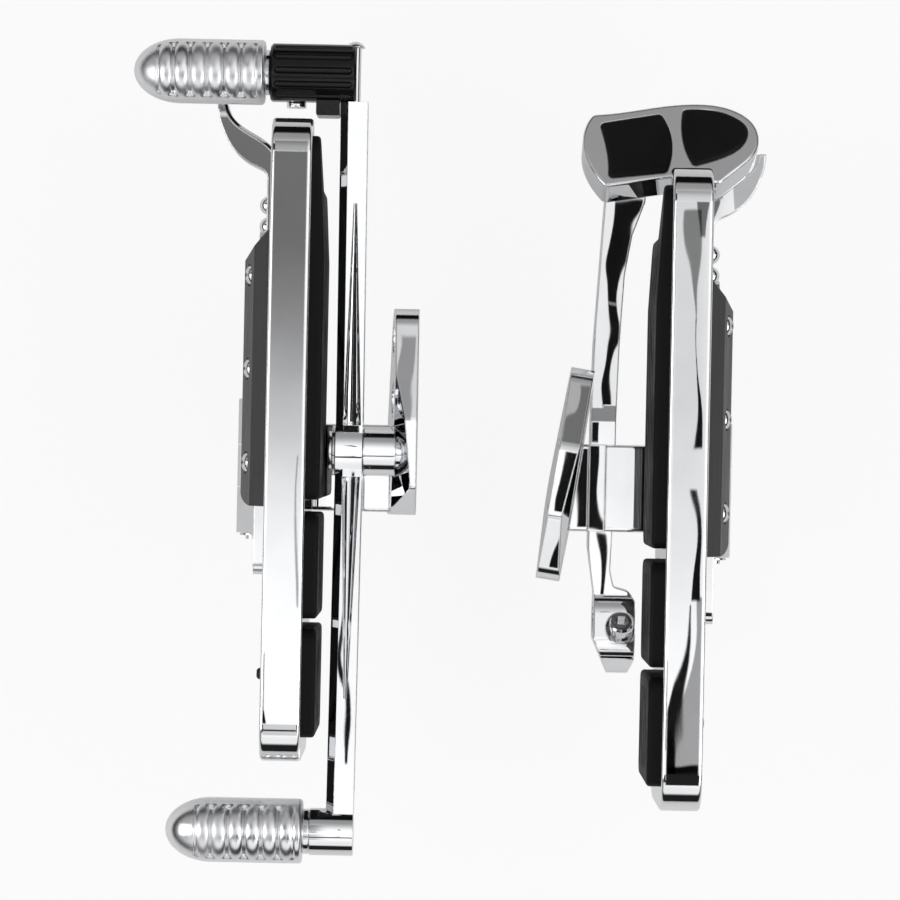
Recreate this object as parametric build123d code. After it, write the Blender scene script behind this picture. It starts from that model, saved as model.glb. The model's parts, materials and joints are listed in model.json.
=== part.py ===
from build123d import *
from math import asin, atan2, cos, degrees, hypot, pi, radians, sin, sqrt
import os

# Pair of folding motorcycle floorboards with a heel and toe shift lever on the left
# unit and a brake lever on the right unit. Millimetres, +Z up, +Y forward, +X to the
# motorcycle's right. The origin is the centre of the left bracket's frame bolts, on its
# mounting face. Both boards are folded up, so their rims are at the top.
#
# Each unit is drawn in its own frame: X grows outboard from the mounting face, Y
# forward from the middle of the bracket arm, and Z up from the frame bolts. The left
# unit is then mirrored, and the right unit is moved to its place.

# Driving dimensions, shared by both units
PAIR_GAP = 72.0
RIGHT_SET_BACK = 8.0
LEFT_BOARD_SHIFT = 14.0
RIGHT_BOARD_SHIFT = 1.0

FIT = 0.06
SEAT_GAP = 0.3
SIDE_PLAY = 0.4
BITE = 1.0
HEAD_CHAMFER_SHARE = 8

BOARD_LENGTH = 325.0
BOARD_FRONT = BOARD_LENGTH / 2
BOARD_REAR = -BOARD_FRONT
BOARD_WIDTH = 93.0
BOARD_INNER = 12.0
BOARD_DEPTH = 20.5
BOARD_TOP_X = 54.7
BOARD_DECK = 5.0
BOARD_WALL = 4.5
BOARD_FRONT_RADIUS = 24.0
BOARD_REAR_RADIUS = 20.0
BOARD_TOP_RADIUS = 18.0
BOARD_STEP_BACK = 26.0
BOARD_STEP_RISE = 52.0
BOARD_STEP_SLOPE = 18.0
BOARD_EDGE = 1.8
RIB_WIDTH = 3.0
RIB_COUNT = 5
RIB_DROP = 3.0

HINGE_X = 86.0
HINGE_Z = -21.0
HINGE_PIN_RADIUS = 4.0
HINGE_HEAD_RADIUS = 6.5
HINGE_HEAD_LENGTH = 3.0
EAR_RADIUS = 9.0
EAR_LENGTH = 24.0
EAR_REACH = 26.0
EAR_ROOT = 6.0
TONGUE_WIDTH = 22.0
CLIP_THICKNESS = 1.0
CLIP_RADIUS = 7.0

PAD_RISE = 7.0
PAD_RECESS = 2.0
PAD_MARGIN = 8.0
PAD_CORNER = 7.0
PAD_EDGE = 2.0
PAD_REAR_MARGIN = 12.5
PAD_FRONT_MARGIN = 8.5
HEEL_PAD_LENGTH = 55.0
HEEL_PAD_GAP = 5.0
MIDDLE_PAD_LENGTH = 53.0
FRONT_PAD_GAP = 7.0
PAD_NOSE_DROP = 3.2
PAD_NOSE_RUN = 62.0
PAD_GROOVE_WIDTH = 3.0
PAD_GROOVE_DEPTH = 1.5
PAD_GROOVE_PITCH = 14.0

STUD_RADIUS = 3.0
STUD_TIP = 7.0
STUD_BOSS_RADIUS = 7.0
NUT_ACROSS = 10.0
NUT_HEIGHT = 5.0
STUD_HEIGHT = 26.0
STUD_BOSS_DROP = 6.0
FRONT_STUD_SHARE = 0.6

SKID_REAR_MARGIN = 128.5
SKID_LENGTH = 140.0
SKID_LOW = 50.0
SKID_RIDGE = 24.0
SKID_WIDTH = 34.0
SKID_RISE = 14.0
SKID_FALL = 6.0
SKID_NOSE = 14.0
SKID_TIP = 1.0
SKID_SEAT = 1.0
SKID_SCREW_PITCH = 48.0
SKID_SCREW_RADIUS = 3.0
SKID_HEAD_RADIUS = 5.5
SKID_HEAD_HEIGHT = 3.0
SKID_HEAD_SINK = 1.0
SKID_SCREW_LENGTH = 16.0
SCREW_END_GAP = 0.5
SKID_BOSS_RADIUS = 8.0

RAIL_LOW = 36.0
RAIL_WIDTH = 12.0
RAIL_RISE = 8.0
RAIL_FRONT_MARGIN = 54.5
RAIL_REAR_MARGIN = 92.5

HORN_LOW = 15.0
HORN_WIDTH = 17.0
HORN_THICKNESS = 4.5
HORN_STRAP_LENGTH = 58.5
HORN_OUTER = ((4.5, -27.0), (11.0, -20.0), (22.0, -12.0), (29.3, 2.0), (31.0, 12.5))
HORN_INNER = ((26.0, 12.5), (18.4, 1.0), (7.6, -5.5), (0.0, -13.0))
HORN_BEVEL = 1.8
HORN_SEAT = 1.0
HORN_BOLT_PITCH = 11.0
HORN_BOLT_RADIUS = 2.5
HORN_BOLT_MARGIN = 2.0
HORN_DOME_RADIUS = 4.8
HORN_DOME_HEIGHT = 4.0

PLATE_THICKNESS = 11.0
PLATE_FLARE = 5.0
PLATE_TOP = 24.0
PLATE_BOTTOM = -34.0
PLATE_CORNER = 12.0
ARM_WIDTH = 46.0
ARM_TOP = -12.0
ARM_HEIGHT = 18.0
ARM_WIDE_END = 62.0
ARM_EDGE = 2.0
ARM_ROOT = 4.0
FRAME_BOLT_PITCH = 32.0
FRAME_HOLE_RADIUS = 5.2
COUNTERBORE_RADIUS = 10.0
PLATE_WALL = 6.0
FACET_DROP = 26.0
SOCKET_SHARE = 0.85

# Left bracket and shift lever
LEFT_PLATE = (-24.0, 84.0)
LEFT_FACET = ((11.0, 72.0), (3.0, -6.0))
LEFT_SLOPE_TOP = -8.0
LEFT_SLOPE_LOW = -4.0
LEFT_SLOPE_CORNER = 3.0
LEFT_BOLT_Y = 52.0
POST_Y = 9.0
POST_Z = 8.0
POST_RADIUS = 13.0
JOURNAL_RADIUS = 9.0
BUSH_WALL = 2.0
HUB_RADIUS = 17.5
LEVER_NEAR = 28.0
LEVER_THICKNESS = 14.0
LEVER_BEVEL = 4.0
WASHER_THICKNESS = 1.5
POST_SCREW_LENGTH = 12.0
POST_SCREW_RIM = 3.0
POST_SCREW_HEAD = 2.2
POST_SCREW_SOCKET = 7.0
POST_SCREW_SOCKET_DEPTH = 1.2
TOE_REACH = 23.5
TOE_Z = 45.0
HEEL_REACH = 37.5
HEEL_Z = 45.0
LEVER_ROOT_HEIGHT = 26.0
LEVER_TIP_HEIGHT = 17.0
FLUTE_DEPTH = 3.0
FLUTE_MARGIN = 4.5
SCOOP_RADIUS = 4.6
SCOOP_END_RADIUS = 0.8
SCOOP_START = 16.0
SCOOP_LENGTH = 115.0
SCOOP_X = 5.6

PEG_RADIUS = 16.5
PEG_LENGTH = 67.0
PEG_NOSE = 24.0
PEG_EDGE = 1.0
PEG_COLLAR_LENGTH = 3.0
PEG_COLLAR_RADIUS = 11.5
COLLAR_EDGE = 0.6
PEG_RIB_COUNT = 5
PEG_RIB_PITCH = 8.8
PEG_RIB_RADIUS = 2.6
PEG_FIELD_DEPTH = 2.6
PEG_FIELD_WIDTH = 27.5
PEG_FIELD_START = 5.0
PEG_FIELD_CORNER = 8.0
PEG_SPIGOT_RADIUS = 4.0
PEG_SPIGOT_LENGTH = 8.0

CLAMP_RADIUS = 15.0
CLAMP_LENGTH = 44.0
CLAMP_NEAR = 34.0
CLAMP_FLUTES = 5
CLAMP_FLUTE_RADIUS = 1.8
CLAMP_FLUTE_SPREAD = 28.0
CLAMP_FLUTE_START = 4.0
CLAMP_FOOT_LENGTH = 12.0
CLAMP_FOOT_REACH = 22.0
CLAMP_FOOT_HEIGHT = 18.0
CLAMP_FLAT = 14.5
CLAMP_AHEAD = 1.5
CLAMP_EDGE = 1.2
CLAMP_BOLT_RADIUS = 3.0
CLAMP_BOLT_HEAD_RADIUS = 5.0
CLAMP_BOLT_HEAD = 3.2
CLAMP_BOLT_SINK = 1.5
CLAMP_BOLT_GRIP = 12.0
LOCK_NUT_RADIUS = 5.0
LOCK_NUT_LENGTH = 4.0
HEEL_BOSS_RADIUS = 12.0
HEEL_BOSS_LENGTH = 8.0
HEEL_PEG_LENGTH = 70.0
HEEL_COLLAR_LENGTH = 4.0

# Right bracket and brake lever
RIGHT_PLATE = (-48.0, 64.0)
RIGHT_BOLT_Y = 7.0
BRAKE_POST_Z = -47.0
BRAKE_LUG_RADIUS = 15.0
BRAKE_HUB_RADIUS = 13.0
BRAKE_KNEE = (38.0, -44.0, 10.5)
BRAKE_HEAD_BACK = 9.0
BRAKE_HEAD_Z = 18.0
BRAKE_HEAD_RADIUS = 10.0
WEB_START = 19.0
WEB_END = 28.0
WEB_DROP = 3.0
RIGHT_PLATE_TURN = 8.5
RIGHT_FACET = ((11.0, 30.0), (4.5, -48.0))
BRAKE_NEAR = 20.5
BRAKE_THICKNESS = 13.5
BRAKE_JOURNAL_RADIUS = 7.0
BRAKE_POST_RADIUS = 10.0
BRAKE_SCREW_HEAD = 3.0
BRAKE_SCREW_SOCKET = 5.0
BRAKE_SCREW_SOCKET_DEPTH = 1.6
CLAMP_EYE_Y = -70.0
CLAMP_EYE_Z = -46.0
CLAMP_EYE_RADIUS = 16.5
CLAMP_TAIL = (-86.0, -48.0, 13.5)
CLAMP_BORE_RADIUS = 8.5
CLAMP_EYE_NEAR = 24.0
CLAMP_EYE_THICKNESS = 22.0
WAIST_RADIUS = 10.5
EYE_NEAR_PLAN = ((20.5, -32.0), (24.0, -56.0), (24.0, -81.0), (33.0, -102.0))
EYE_FAR_PLAN = ((42.0, -102.0), (46.0, -92.0), (46.0, -60.0), (42.5, -55.0), (34.5, -53.0), (32.5, -44.0))
EYE_PLAN_CORNER = 3.0
PINCH_SPLIT = 2.5
PINCH_RADIUS = 4.0
PINCH_HEAD_RADIUS = 6.5
PINCH_HEAD = 8.0
PINCH_X = 38.5
PINCH_LEAN = 35.0
PINCH_OFFSET = 14.0
PINCH_LUG_RADIUS = 11.0
PINCH_SEAT = 9.0
PINCH_LENGTH = 24.0
PINCH_WASHER_RADIUS = 7.5
PINCH_WASHER_THICKNESS = 1.6

PEDAL_CENTRE_X = 57.0
PEDAL_REACH = 3.5
PEDAL_TOP_Z = 40.0
PEDAL_THICKNESS = 18.0
PEDAL_TILT = 24.0
PEDAL_EDGE = 1.4
PEDAL_ARM_NEAR = 24.0
PEDAL_ARM_FAR = 44.0
PEDAL_NECK = ((35.0, 112.0), (38.0, 132.0), (44.0, 149.0))
PEDAL_POCKET = 4.0
PEDAL_INSERT_RISE = 1.5
PEDAL_SIDE = ((-34.9, -13.1), (-41.4, -4.3), (-46.0, 8.0), (-45.6, 20.0), (-41.0, 29.1))
PEDAL_TOP = (
    (-41.0, 29.1), (-4.4, 35.0), (11.7, 36.6), (31.0, 33.6), (42.5, 24.0), (43.6, 11.5),
    (34.0, -0.9), (24.0, -10.0),
)
PEDAL_LOW = ((24.0, -10.0), (12.0, -9.0), (2.1, -6.5), (-34.9, -13.1))
PEDAL_CORNER = 4.0
SQUARE_INSERT = (
    ((-37.9, 23.5), (-6.5, 29.8)),
    ((-6.5, 29.8), (-0.8, 15.0), (-0.9, 5.0), (-3.4, -4.6)),
    ((-3.4, -4.6), (-33.6, -8.6)),
    ((-33.6, -8.6), (-34.2, 8.0), (-35.4, 14.0), (-37.9, 23.5)),
)
DROP_INSERT = (
    (
        (5.2, 32.6), (14.0, 33.0), (23.2, 32.0), (32.1, 28.6), (38.3, 22.0), (36.8, 13.9),
        (28.5, 6.4), (10.5, -0.6),
    ),
    ((10.5, -0.6), (5.4, 12.3), (4.4, 21.1), (5.2, 32.6)),
)
INSERT_CORNER = 2.5
PEDAL_SCREW_RADIUS = 3.0
PEDAL_SCREW_HEAD_RADIUS = 5.5
PEDAL_SCREW_HEAD = 3.0
PEDAL_SCREW_DEPTH = 9.0

# Places that follow from the board's length, so that the pieces keep together
HEEL_PAD = (BOARD_REAR + PAD_REAR_MARGIN, BOARD_REAR + PAD_REAR_MARGIN + HEEL_PAD_LENGTH)
MIDDLE_PAD = (HEEL_PAD[1] + HEEL_PAD_GAP, HEEL_PAD[1] + HEEL_PAD_GAP + MIDDLE_PAD_LENGTH)
FRONT_PAD = (MIDDLE_PAD[1] + FRONT_PAD_GAP, BOARD_FRONT - PAD_FRONT_MARGIN)
SKID_START = BOARD_REAR + SKID_REAR_MARGIN
RAIL_FRONT = BOARD_FRONT - RAIL_FRONT_MARGIN
RAIL_REAR = BOARD_REAR + RAIL_REAR_MARGIN
HORN_BASE = BOARD_FRONT - HORN_STRAP_LENGTH
TOE_Y = BOARD_FRONT + LEFT_BOARD_SHIFT + TOE_REACH
HEEL_Y = BOARD_REAR + LEFT_BOARD_SHIFT - HEEL_REACH
PEDAL_CENTRE_Y = BOARD_FRONT + RIGHT_BOARD_SHIFT + PEDAL_REACH
BRAKE_HEAD = (PEDAL_CENTRE_Y - BRAKE_HEAD_BACK, BRAKE_HEAD_Z, BRAKE_HEAD_RADIUS)


def rod(x, y, z, radius, length, turn):
    """A round bar from a point, along +Z turned by the given angles."""
    bar = Cylinder(radius, length, align=(Align.CENTER, Align.CENTER, Align.MIN))
    return Pos(x, y, z) * Rot(*turn) * bar


def rod_x(x, y, z, radius, length):
    """A round bar from a point along +X."""
    return rod(x, y, z, radius, length, (0, 90, 0))


def rod_y(x, y, z, radius, length):
    """A round bar from a point along +Y."""
    return rod(x, y, z, radius, length, (-90, 0, 0))


def block(low, high):
    """A box between two opposite corners."""
    size = [b - a for a, b in zip(low, high)]
    middle = [(a + b) / 2 for a, b in zip(low, high)]
    return Pos(*middle) * Box(*size)


def curved_face(curves, radius):
    """The face inside a ring of lines and curves, with its corners rounded."""
    edges = [Line(*points) if len(points) == 2 else Spline(*points) for points in curves]
    face = make_face(edges)
    return fillet(face.vertices(), radius)


def side_hull(x, *circles):
    """The taut outline round circles given as (y, z, radius), in the plane at x."""
    rims = [Pos(y, z) * Edge.make_circle(radius) for y, z, radius in circles]
    return Plane.YZ.offset(x) * make_hull(rims)


def hexagon_bar(x, y, z, across, height, turn=(0, 90, 0)):
    """A six-sided bar from a point, along +X unless turned."""
    flat = RegularPolygon(across / 2, 6, major_radius=False)
    return Pos(x, y, z) * Rot(*turn) * extrude(flat, height)


def socket_screw(head_radius, head_height, radius, length, across, depth):
    """A socket-head screw along Z with the underside of its head at the origin."""
    head = Cylinder(head_radius, head_height, align=(Align.CENTER, Align.CENTER, Align.MIN))
    head = chamfer(head.edges().group_by(Axis.Z)[-1], head_height / HEAD_CHAMFER_SHARE)
    shank = Cylinder(radius, length, align=(Align.CENTER, Align.CENTER, Align.MAX))
    socket = Pos(0, 0, head_height - depth) * extrude(
        RegularPolygon(across / 2, 6, major_radius=False), depth
    )
    return head + shank - socket


def dome_screw(head_radius, head_height, radius, length):
    """A dome-head screw along Z with the underside of its head at the origin."""
    ball = (head_radius**2 + head_height**2) / (2 * head_height)
    dome = Pos(0, 0, head_height - ball) * Sphere(ball)
    keep = Cylinder(head_radius, head_height, align=(Align.CENTER, Align.CENTER, Align.MIN))
    shank = Cylinder(radius, length, align=(Align.CENTER, Align.CENTER, Align.MAX))
    return (dome & keep) + shank


# The board, in hinge coordinates: Y along the board from its middle, Z up from the hinge
BOARD_OUTER = BOARD_INNER + BOARD_WIDTH
BOARD_UNDER_X = BOARD_TOP_X + BOARD_DEPTH
DECK_UNDER_X = BOARD_TOP_X + BOARD_DECK
PAD_TOP_X = BOARD_TOP_X - PAD_RISE
SKID_SEAT_X = BOARD_UNDER_X + SKID_SEAT
STUD_BOSS_X = BOARD_UNDER_X - STUD_BOSS_DROP
HORN_NEAR_X = BOARD_UNDER_X + HORN_SEAT
SKID_MIDDLE = SKID_START + SKID_LENGTH / 2
SKID_LEAN = degrees(atan2(SKID_FALL, SKID_RIDGE))


def board_outline(inset):
    """The outline of the board in its own plane, drawn in by an inset."""
    step_y = BOARD_FRONT - BOARD_STEP_BACK
    step_z = BOARD_INNER + BOARD_STEP_RISE
    points = [
        (BOARD_REAR, BOARD_INNER),
        (step_y, BOARD_INNER),
        (step_y, step_z),
        (BOARD_FRONT, step_z + BOARD_STEP_SLOPE),
        (BOARD_FRONT, BOARD_OUTER),
        (BOARD_REAR, BOARD_OUTER),
    ]
    face = make_face(Polyline(*points, close=True))
    corners = face.vertices().group_by(Axis.Y)
    top = corners[-1].sort_by(Axis.X)
    face = fillet(top[-1], BOARD_TOP_RADIUS)
    rear_top = face.vertices().sort_by_distance((BOARD_REAR, BOARD_OUTER))[0]
    face = fillet(rear_top, BOARD_REAR_RADIUS)
    rear_low = face.vertices().sort_by_distance((BOARD_REAR, BOARD_INNER))[0]
    face = fillet(rear_low, BOARD_REAR_RADIUS)
    front_low = face.vertices().sort_by_distance((step_y, BOARD_INNER))[0]
    face = fillet(front_low, BOARD_FRONT_RADIUS / 2)
    return offset(face, -inset, kind=Kind.INTERSECTION) if inset else face


def at_board(x, shape):
    """A flat outline of the board's plane, placed at x."""
    return Plane.YZ.offset(x) * shape


def pad_outline(span):
    """The outline of one rubber pad, inside the board's own outline."""
    rear, front = span
    low = BOARD_INNER + PAD_MARGIN
    high = BOARD_OUTER - PAD_MARGIN
    strip = Pos((rear + front) / 2, (low + high) / 2) * Rectangle(front - rear, high - low)
    face = strip & board_outline(PAD_MARGIN)
    inner = offset(face, -PAD_CORNER, kind=Kind.INTERSECTION)
    return offset(inner, PAD_CORNER, kind=Kind.ARC)


def stud_places():
    """The pads' studs, as (y, z) pairs."""
    rear, front = FRONT_PAD
    return [
        (rear + (front - rear) * FRONT_STUD_SHARE, STUD_HEIGHT),
        (sum(MIDDLE_PAD) / 2, STUD_HEIGHT),
        (sum(HEEL_PAD) / 2, STUD_HEIGHT),
    ]


def skid_screw_places():
    """The skid's screws, spaced evenly about its middle."""
    return [SKID_MIDDLE + step * SKID_SCREW_PITCH for step in (-1, 0, 1)]


def skid_screw_plane(y):
    """The plane on the skid's sloping face, centred on a screw and facing outboard."""
    x = SKID_SEAT_X + SKID_RISE - SKID_FALL / 2
    z = SKID_LOW + SKID_RIDGE / 2
    lean = radians(SKID_LEAN)
    return Plane((x, y, z), x_dir=(0, 1, 0), z_dir=(cos(lean), 0, sin(lean)))


def skid_screw_hole(y):
    """The hole for one skid screw, without the room for its head."""
    depth = SKID_HEAD_SINK + SKID_HEAD_HEIGHT + SKID_SCREW_LENGTH + SCREW_END_GAP
    hole = Cylinder(
        SKID_SCREW_RADIUS + FIT, depth, align=(Align.CENTER, Align.CENTER, Align.MAX)
    )
    return skid_screw_plane(y).location * hole


def horn_bolt_places():
    """The horn's two dome bolts along its strap, as (y, z) pairs."""
    z = HORN_LOW + HORN_WIDTH / 2
    first = HORN_BASE + HORN_BOLT_PITCH / 2 + HORN_BOLT_MARGIN
    return [(first, z), (first + HORN_BOLT_PITCH, z)]


def ear_outline():
    """The outline of a hinge ear in the X and Z plane."""
    knuckle = Pos(HINGE_X, 0) * Edge.make_circle(EAR_RADIUS)
    foot_z = BOARD_INNER + EAR_REACH / 2 + BITE
    root = Pos(BOARD_UNDER_X - EAR_ROOT / 2, foot_z) * Rectangle(EAR_ROOT, EAR_REACH)
    return make_hull([knuckle, *root.edges()])


def ear_starts():
    """Where the two hinge ears begin along Y."""
    inner = TONGUE_WIDTH / 2 + SIDE_PLAY
    return [inner, -inner - EAR_LENGTH]


def ear_block(start):
    """One hinge ear, from its start along +Y."""
    flat = Plane((0, start, 0), x_dir=(1, 0, 0), z_dir=(0, -1, 0)) * ear_outline()
    return extrude(flat, -EAR_LENGTH)


def make_board(shift):
    """The cast board: deck, rim, ribs, rail, bosses and hinge ears."""
    body = extrude(at_board(BOARD_TOP_X, board_outline(0)), BOARD_DEPTH)
    body = fillet(body.edges().group_by(Axis.X)[0], BOARD_EDGE)
    body = fillet(body.edges().group_by(Axis.X)[-1], BOARD_EDGE)
    pocket = extrude(at_board(DECK_UNDER_X, board_outline(BOARD_WALL)), BOARD_DEPTH)
    body -= pocket
    pitch = BOARD_LENGTH / (RIB_COUNT + 1)
    ribs = [
        block(
            (DECK_UNDER_X - BITE, BOARD_REAR + pitch * n - RIB_WIDTH / 2, BOARD_INNER),
            (BOARD_UNDER_X - RIB_DROP, BOARD_REAR + pitch * n + RIB_WIDTH / 2, BOARD_OUTER),
        )
        for n in range(1, RIB_COUNT + 1)
    ]
    inside = extrude(at_board(BOARD_TOP_X + BITE, board_outline(BITE)), BOARD_DEPTH - BITE * 2)
    body += [rib & inside for rib in ribs]
    rail = side_hull(
        DECK_UNDER_X - BITE,
        (RAIL_REAR + RAIL_WIDTH / 2, RAIL_LOW + RAIL_WIDTH / 2, RAIL_WIDTH / 2),
        (RAIL_FRONT - RAIL_WIDTH / 2, RAIL_LOW + RAIL_WIDTH / 2, RAIL_WIDTH / 2),
    )
    body += extrude(rail, BOARD_UNDER_X + RAIL_RISE - DECK_UNDER_X + BITE)
    for y in skid_screw_places():
        reach = SKID_SEAT_X - DECK_UNDER_X + BITE
        body += rod_x(DECK_UNDER_X - BITE, y, SKID_LOW + SKID_RIDGE / 2, SKID_BOSS_RADIUS, reach)
    for y, z in stud_places():
        reach = STUD_BOSS_X - DECK_UNDER_X + BITE
        body += rod_x(DECK_UNDER_X - BITE, y, z, STUD_BOSS_RADIUS, reach)
    horn_front = BOARD_FRONT - BOARD_STEP_BACK - BOARD_WALL
    body += block(
        (DECK_UNDER_X - BITE, HORN_BASE, HORN_LOW),
        (HORN_NEAR_X, horn_front, HORN_LOW + HORN_WIDTH),
    )
    for start in ear_starts():
        body += ear_block(start - shift)
    for span in (FRONT_PAD, MIDDLE_PAD, HEEL_PAD):
        body -= extrude(at_board(BOARD_TOP_X, pad_outline(span)), PAD_RECESS)
    for y, z in stud_places():
        body -= rod_x(BOARD_TOP_X, y, z, STUD_RADIUS + FIT, BOARD_DEPTH * 2)
        body -= rod_x(STUD_BOSS_X, y, z, STUD_BOSS_RADIUS, BOARD_DEPTH)
    for y in skid_screw_places():
        body -= skid_screw_hole(y)
    for y, z in horn_bolt_places():
        body -= rod_x(BOARD_UNDER_X - BOARD_DECK, y, z, HORN_BOLT_RADIUS + FIT, BOARD_DEPTH)
    body -= rod_y(HINGE_X, -BOARD_FRONT, 0, HINGE_PIN_RADIUS + FIT, BOARD_LENGTH)
    return Pos(0, shift, HINGE_Z) * body


def pad_nose(crease, front):
    """What is cut away so that the front pad thins out towards its front."""
    points = (
        (PAD_TOP_X, crease),
        (PAD_TOP_X + PAD_NOSE_DROP, front),
        (PAD_TOP_X - BITE, front),
        (PAD_TOP_X - BITE, crease),
    )
    return extrude(make_face(Polyline(*points, close=True)), BOARD_OUTER)


def make_pad(span, shift):
    """A rubber pad with lengthwise grooves and blind holes for its studs."""
    flat = pad_outline(span)
    body = extrude(at_board(PAD_TOP_X, flat), PAD_RISE + PAD_RECESS)
    rear, front = span
    crease = front - PAD_NOSE_RUN
    if span == FRONT_PAD:
        body -= pad_nose(crease, front)
    top = [
        edge
        for edge in body.edges()
        if edge.center().X < PAD_TOP_X + PAD_NOSE_DROP + FIT and abs(edge.center().Y - crease) > BITE
    ]
    body = fillet(top, PAD_EDGE)
    low = BOARD_INNER + PAD_MARGIN + PAD_GROOVE_PITCH
    high = BOARD_OUTER - PAD_MARGIN - PAD_GROOVE_PITCH / 2
    place = low
    while place < high:
        body -= block(
            (PAD_TOP_X - BITE, rear + PAD_CORNER, place - PAD_GROOVE_WIDTH / 2),
            (PAD_TOP_X + PAD_GROOVE_DEPTH, front - PAD_CORNER, place + PAD_GROOVE_WIDTH / 2),
        )
        place += PAD_GROOVE_PITCH
    for y, z in stud_places():
        body -= rod_x(BOARD_TOP_X - PAD_RISE / 2, y, z, STUD_RADIUS, BOARD_DEPTH)
    return Pos(0, shift, HINGE_Z) * body


def make_pad_studs(shift):
    """The studs that hold the pads, one solid each."""
    start = BOARD_TOP_X - PAD_RISE / 2
    end = STUD_BOSS_X + NUT_HEIGHT + STUD_TIP
    studs = []
    for y, z in stud_places():
        stud = rod_x(start, y, z, STUD_RADIUS, end - start)
        studs.append(chamfer(stud.edges().group_by(Axis.X)[-1], STUD_RADIUS / 3))
    return Pos(0, shift, HINGE_Z) * Compound(studs)


def make_pad_nuts(shift):
    """The nuts on the studs, each seated on its boss under the deck."""
    nuts = []
    for y, z in stud_places():
        nut = hexagon_bar(STUD_BOSS_X, y, z, NUT_ACROSS, NUT_HEIGHT)
        nuts.append(nut - rod_x(STUD_BOSS_X - BITE, y, z, STUD_RADIUS + FIT, NUT_HEIGHT * 2))
    return Pos(0, shift, HINGE_Z) * Compound(nuts)


def make_skid(shift):
    """The wear block under the rim: a sloped bar with a ramped nose."""
    section = Polyline(
        (SKID_SEAT_X, SKID_LOW),
        (SKID_SEAT_X + SKID_RISE, SKID_LOW),
        (SKID_SEAT_X + SKID_RISE - SKID_FALL, SKID_LOW + SKID_RIDGE),
        (SKID_SEAT_X, SKID_LOW + SKID_WIDTH),
        close=True,
    )
    flat = Plane((0, SKID_START, 0), x_dir=(1, 0, 0), z_dir=(0, -1, 0)) * make_face(section)
    body = extrude(flat, -SKID_LENGTH)
    end = SKID_START + SKID_LENGTH
    outer = SKID_SEAT_X + SKID_RISE
    plan = make_face(
        Polyline(
            (SKID_SEAT_X, SKID_START),
            (outer, SKID_START),
            (outer, end - SKID_NOSE),
            (SKID_SEAT_X + SKID_TIP, end),
            (SKID_SEAT_X, end),
            close=True,
        )
    )
    rear_corner = plan.vertices().sort_by_distance((outer, SKID_START))[0]
    plan = fillet(rear_corner, SKID_RISE / 2)
    body &= extrude(plan, BOARD_OUTER)
    for y in skid_screw_places():
        head = Cylinder(
            SKID_HEAD_RADIUS + SEAT_GAP,
            SKID_HEAD_HEIGHT + SKID_HEAD_SINK,
            align=(Align.CENTER, Align.CENTER, Align.MAX),
        )
        body -= skid_screw_plane(y).location * head
        body -= skid_screw_hole(y)
    return Pos(0, shift, HINGE_Z) * body


def make_skid_screws(shift):
    """The three screws sunk in the skid's sloping face."""
    screw = socket_screw(
        SKID_HEAD_RADIUS,
        SKID_HEAD_HEIGHT,
        SKID_SCREW_RADIUS,
        SKID_SCREW_LENGTH,
        SKID_HEAD_RADIUS * SOCKET_SHARE,
        SKID_HEAD_HEIGHT / 2,
    )
    sink = Pos(0, 0, -SKID_HEAD_HEIGHT - SKID_HEAD_SINK)
    screws = [skid_screw_plane(y).location * sink * screw for y in skid_screw_places()]
    return Pos(0, shift, HINGE_Z) * Compound(screws)


def make_horn(shift):
    """The curved guard at the board's front, one strip with a scooped end."""
    strap = [(HORN_OUTER[0][0], -HORN_STRAP_LENGTH), (0, -HORN_STRAP_LENGTH)]
    outline = [
        Spline(*HORN_OUTER, tangents=[(0, 1), (0, 1)]),
        Line(HORN_OUTER[-1], HORN_INNER[0]),
        Spline(*HORN_INNER),
        Line(HORN_INNER[-1], strap[1]),
        Line(*strap),
        Line(strap[0], HORN_OUTER[0]),
    ]
    flat = Pos(HORN_NEAR_X, BOARD_FRONT, HORN_LOW) * make_face(outline)
    body = extrude(flat, HORN_WIDTH)
    inside = body.edges().filter_by(GeomType.BSPLINE).sort_by(SortBy.LENGTH)[:2]
    body = chamfer(inside, HORN_BEVEL)
    for y, z in horn_bolt_places():
        body -= rod_x(HORN_NEAR_X - BITE, y, z, HORN_BOLT_RADIUS + FIT, HORN_THICKNESS * 2)
    return Pos(0, shift, HINGE_Z) * body


def make_horn_bolts(shift):
    """The two dome-head bolts that hold the horn."""
    bolt = dome_screw(
        HORN_DOME_RADIUS, HORN_DOME_HEIGHT, HORN_BOLT_RADIUS, HORN_THICKNESS + BOARD_DECK
    )
    seat = HORN_NEAR_X + HORN_THICKNESS
    bolts = [Pos(seat, y, z) * Rot(0, 90, 0) * bolt for y, z in horn_bolt_places()]
    return Pos(0, shift, HINGE_Z) * Compound(bolts)


def ear_span():
    """The distance from the tongue's middle to the far face of an ear."""
    return TONGUE_WIDTH / 2 + SIDE_PLAY + EAR_LENGTH


def make_hinge_pin():
    """The headed pin through the tongue and both ears, with a groove for its clip."""
    reach = ear_span() + SIDE_PLAY
    tail = reach + CLIP_THICKNESS * 3
    pin = rod_y(HINGE_X, -tail, HINGE_Z, HINGE_PIN_RADIUS, tail + reach)
    pin += rod_y(HINGE_X, reach, HINGE_Z, HINGE_HEAD_RADIUS, HINGE_HEAD_LENGTH)
    groove = rod_y(HINGE_X, -reach - CLIP_THICKNESS, HINGE_Z, CLIP_RADIUS, CLIP_THICKNESS)
    core = rod_y(HINGE_X, -reach - CLIP_THICKNESS, HINGE_Z, clip_bore(), CLIP_THICKNESS)
    return pin - (groove - core)


def clip_bore():
    """The radius that the clip grips in the pin's groove."""
    return HINGE_PIN_RADIUS - CLIP_THICKNESS / 2


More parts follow.
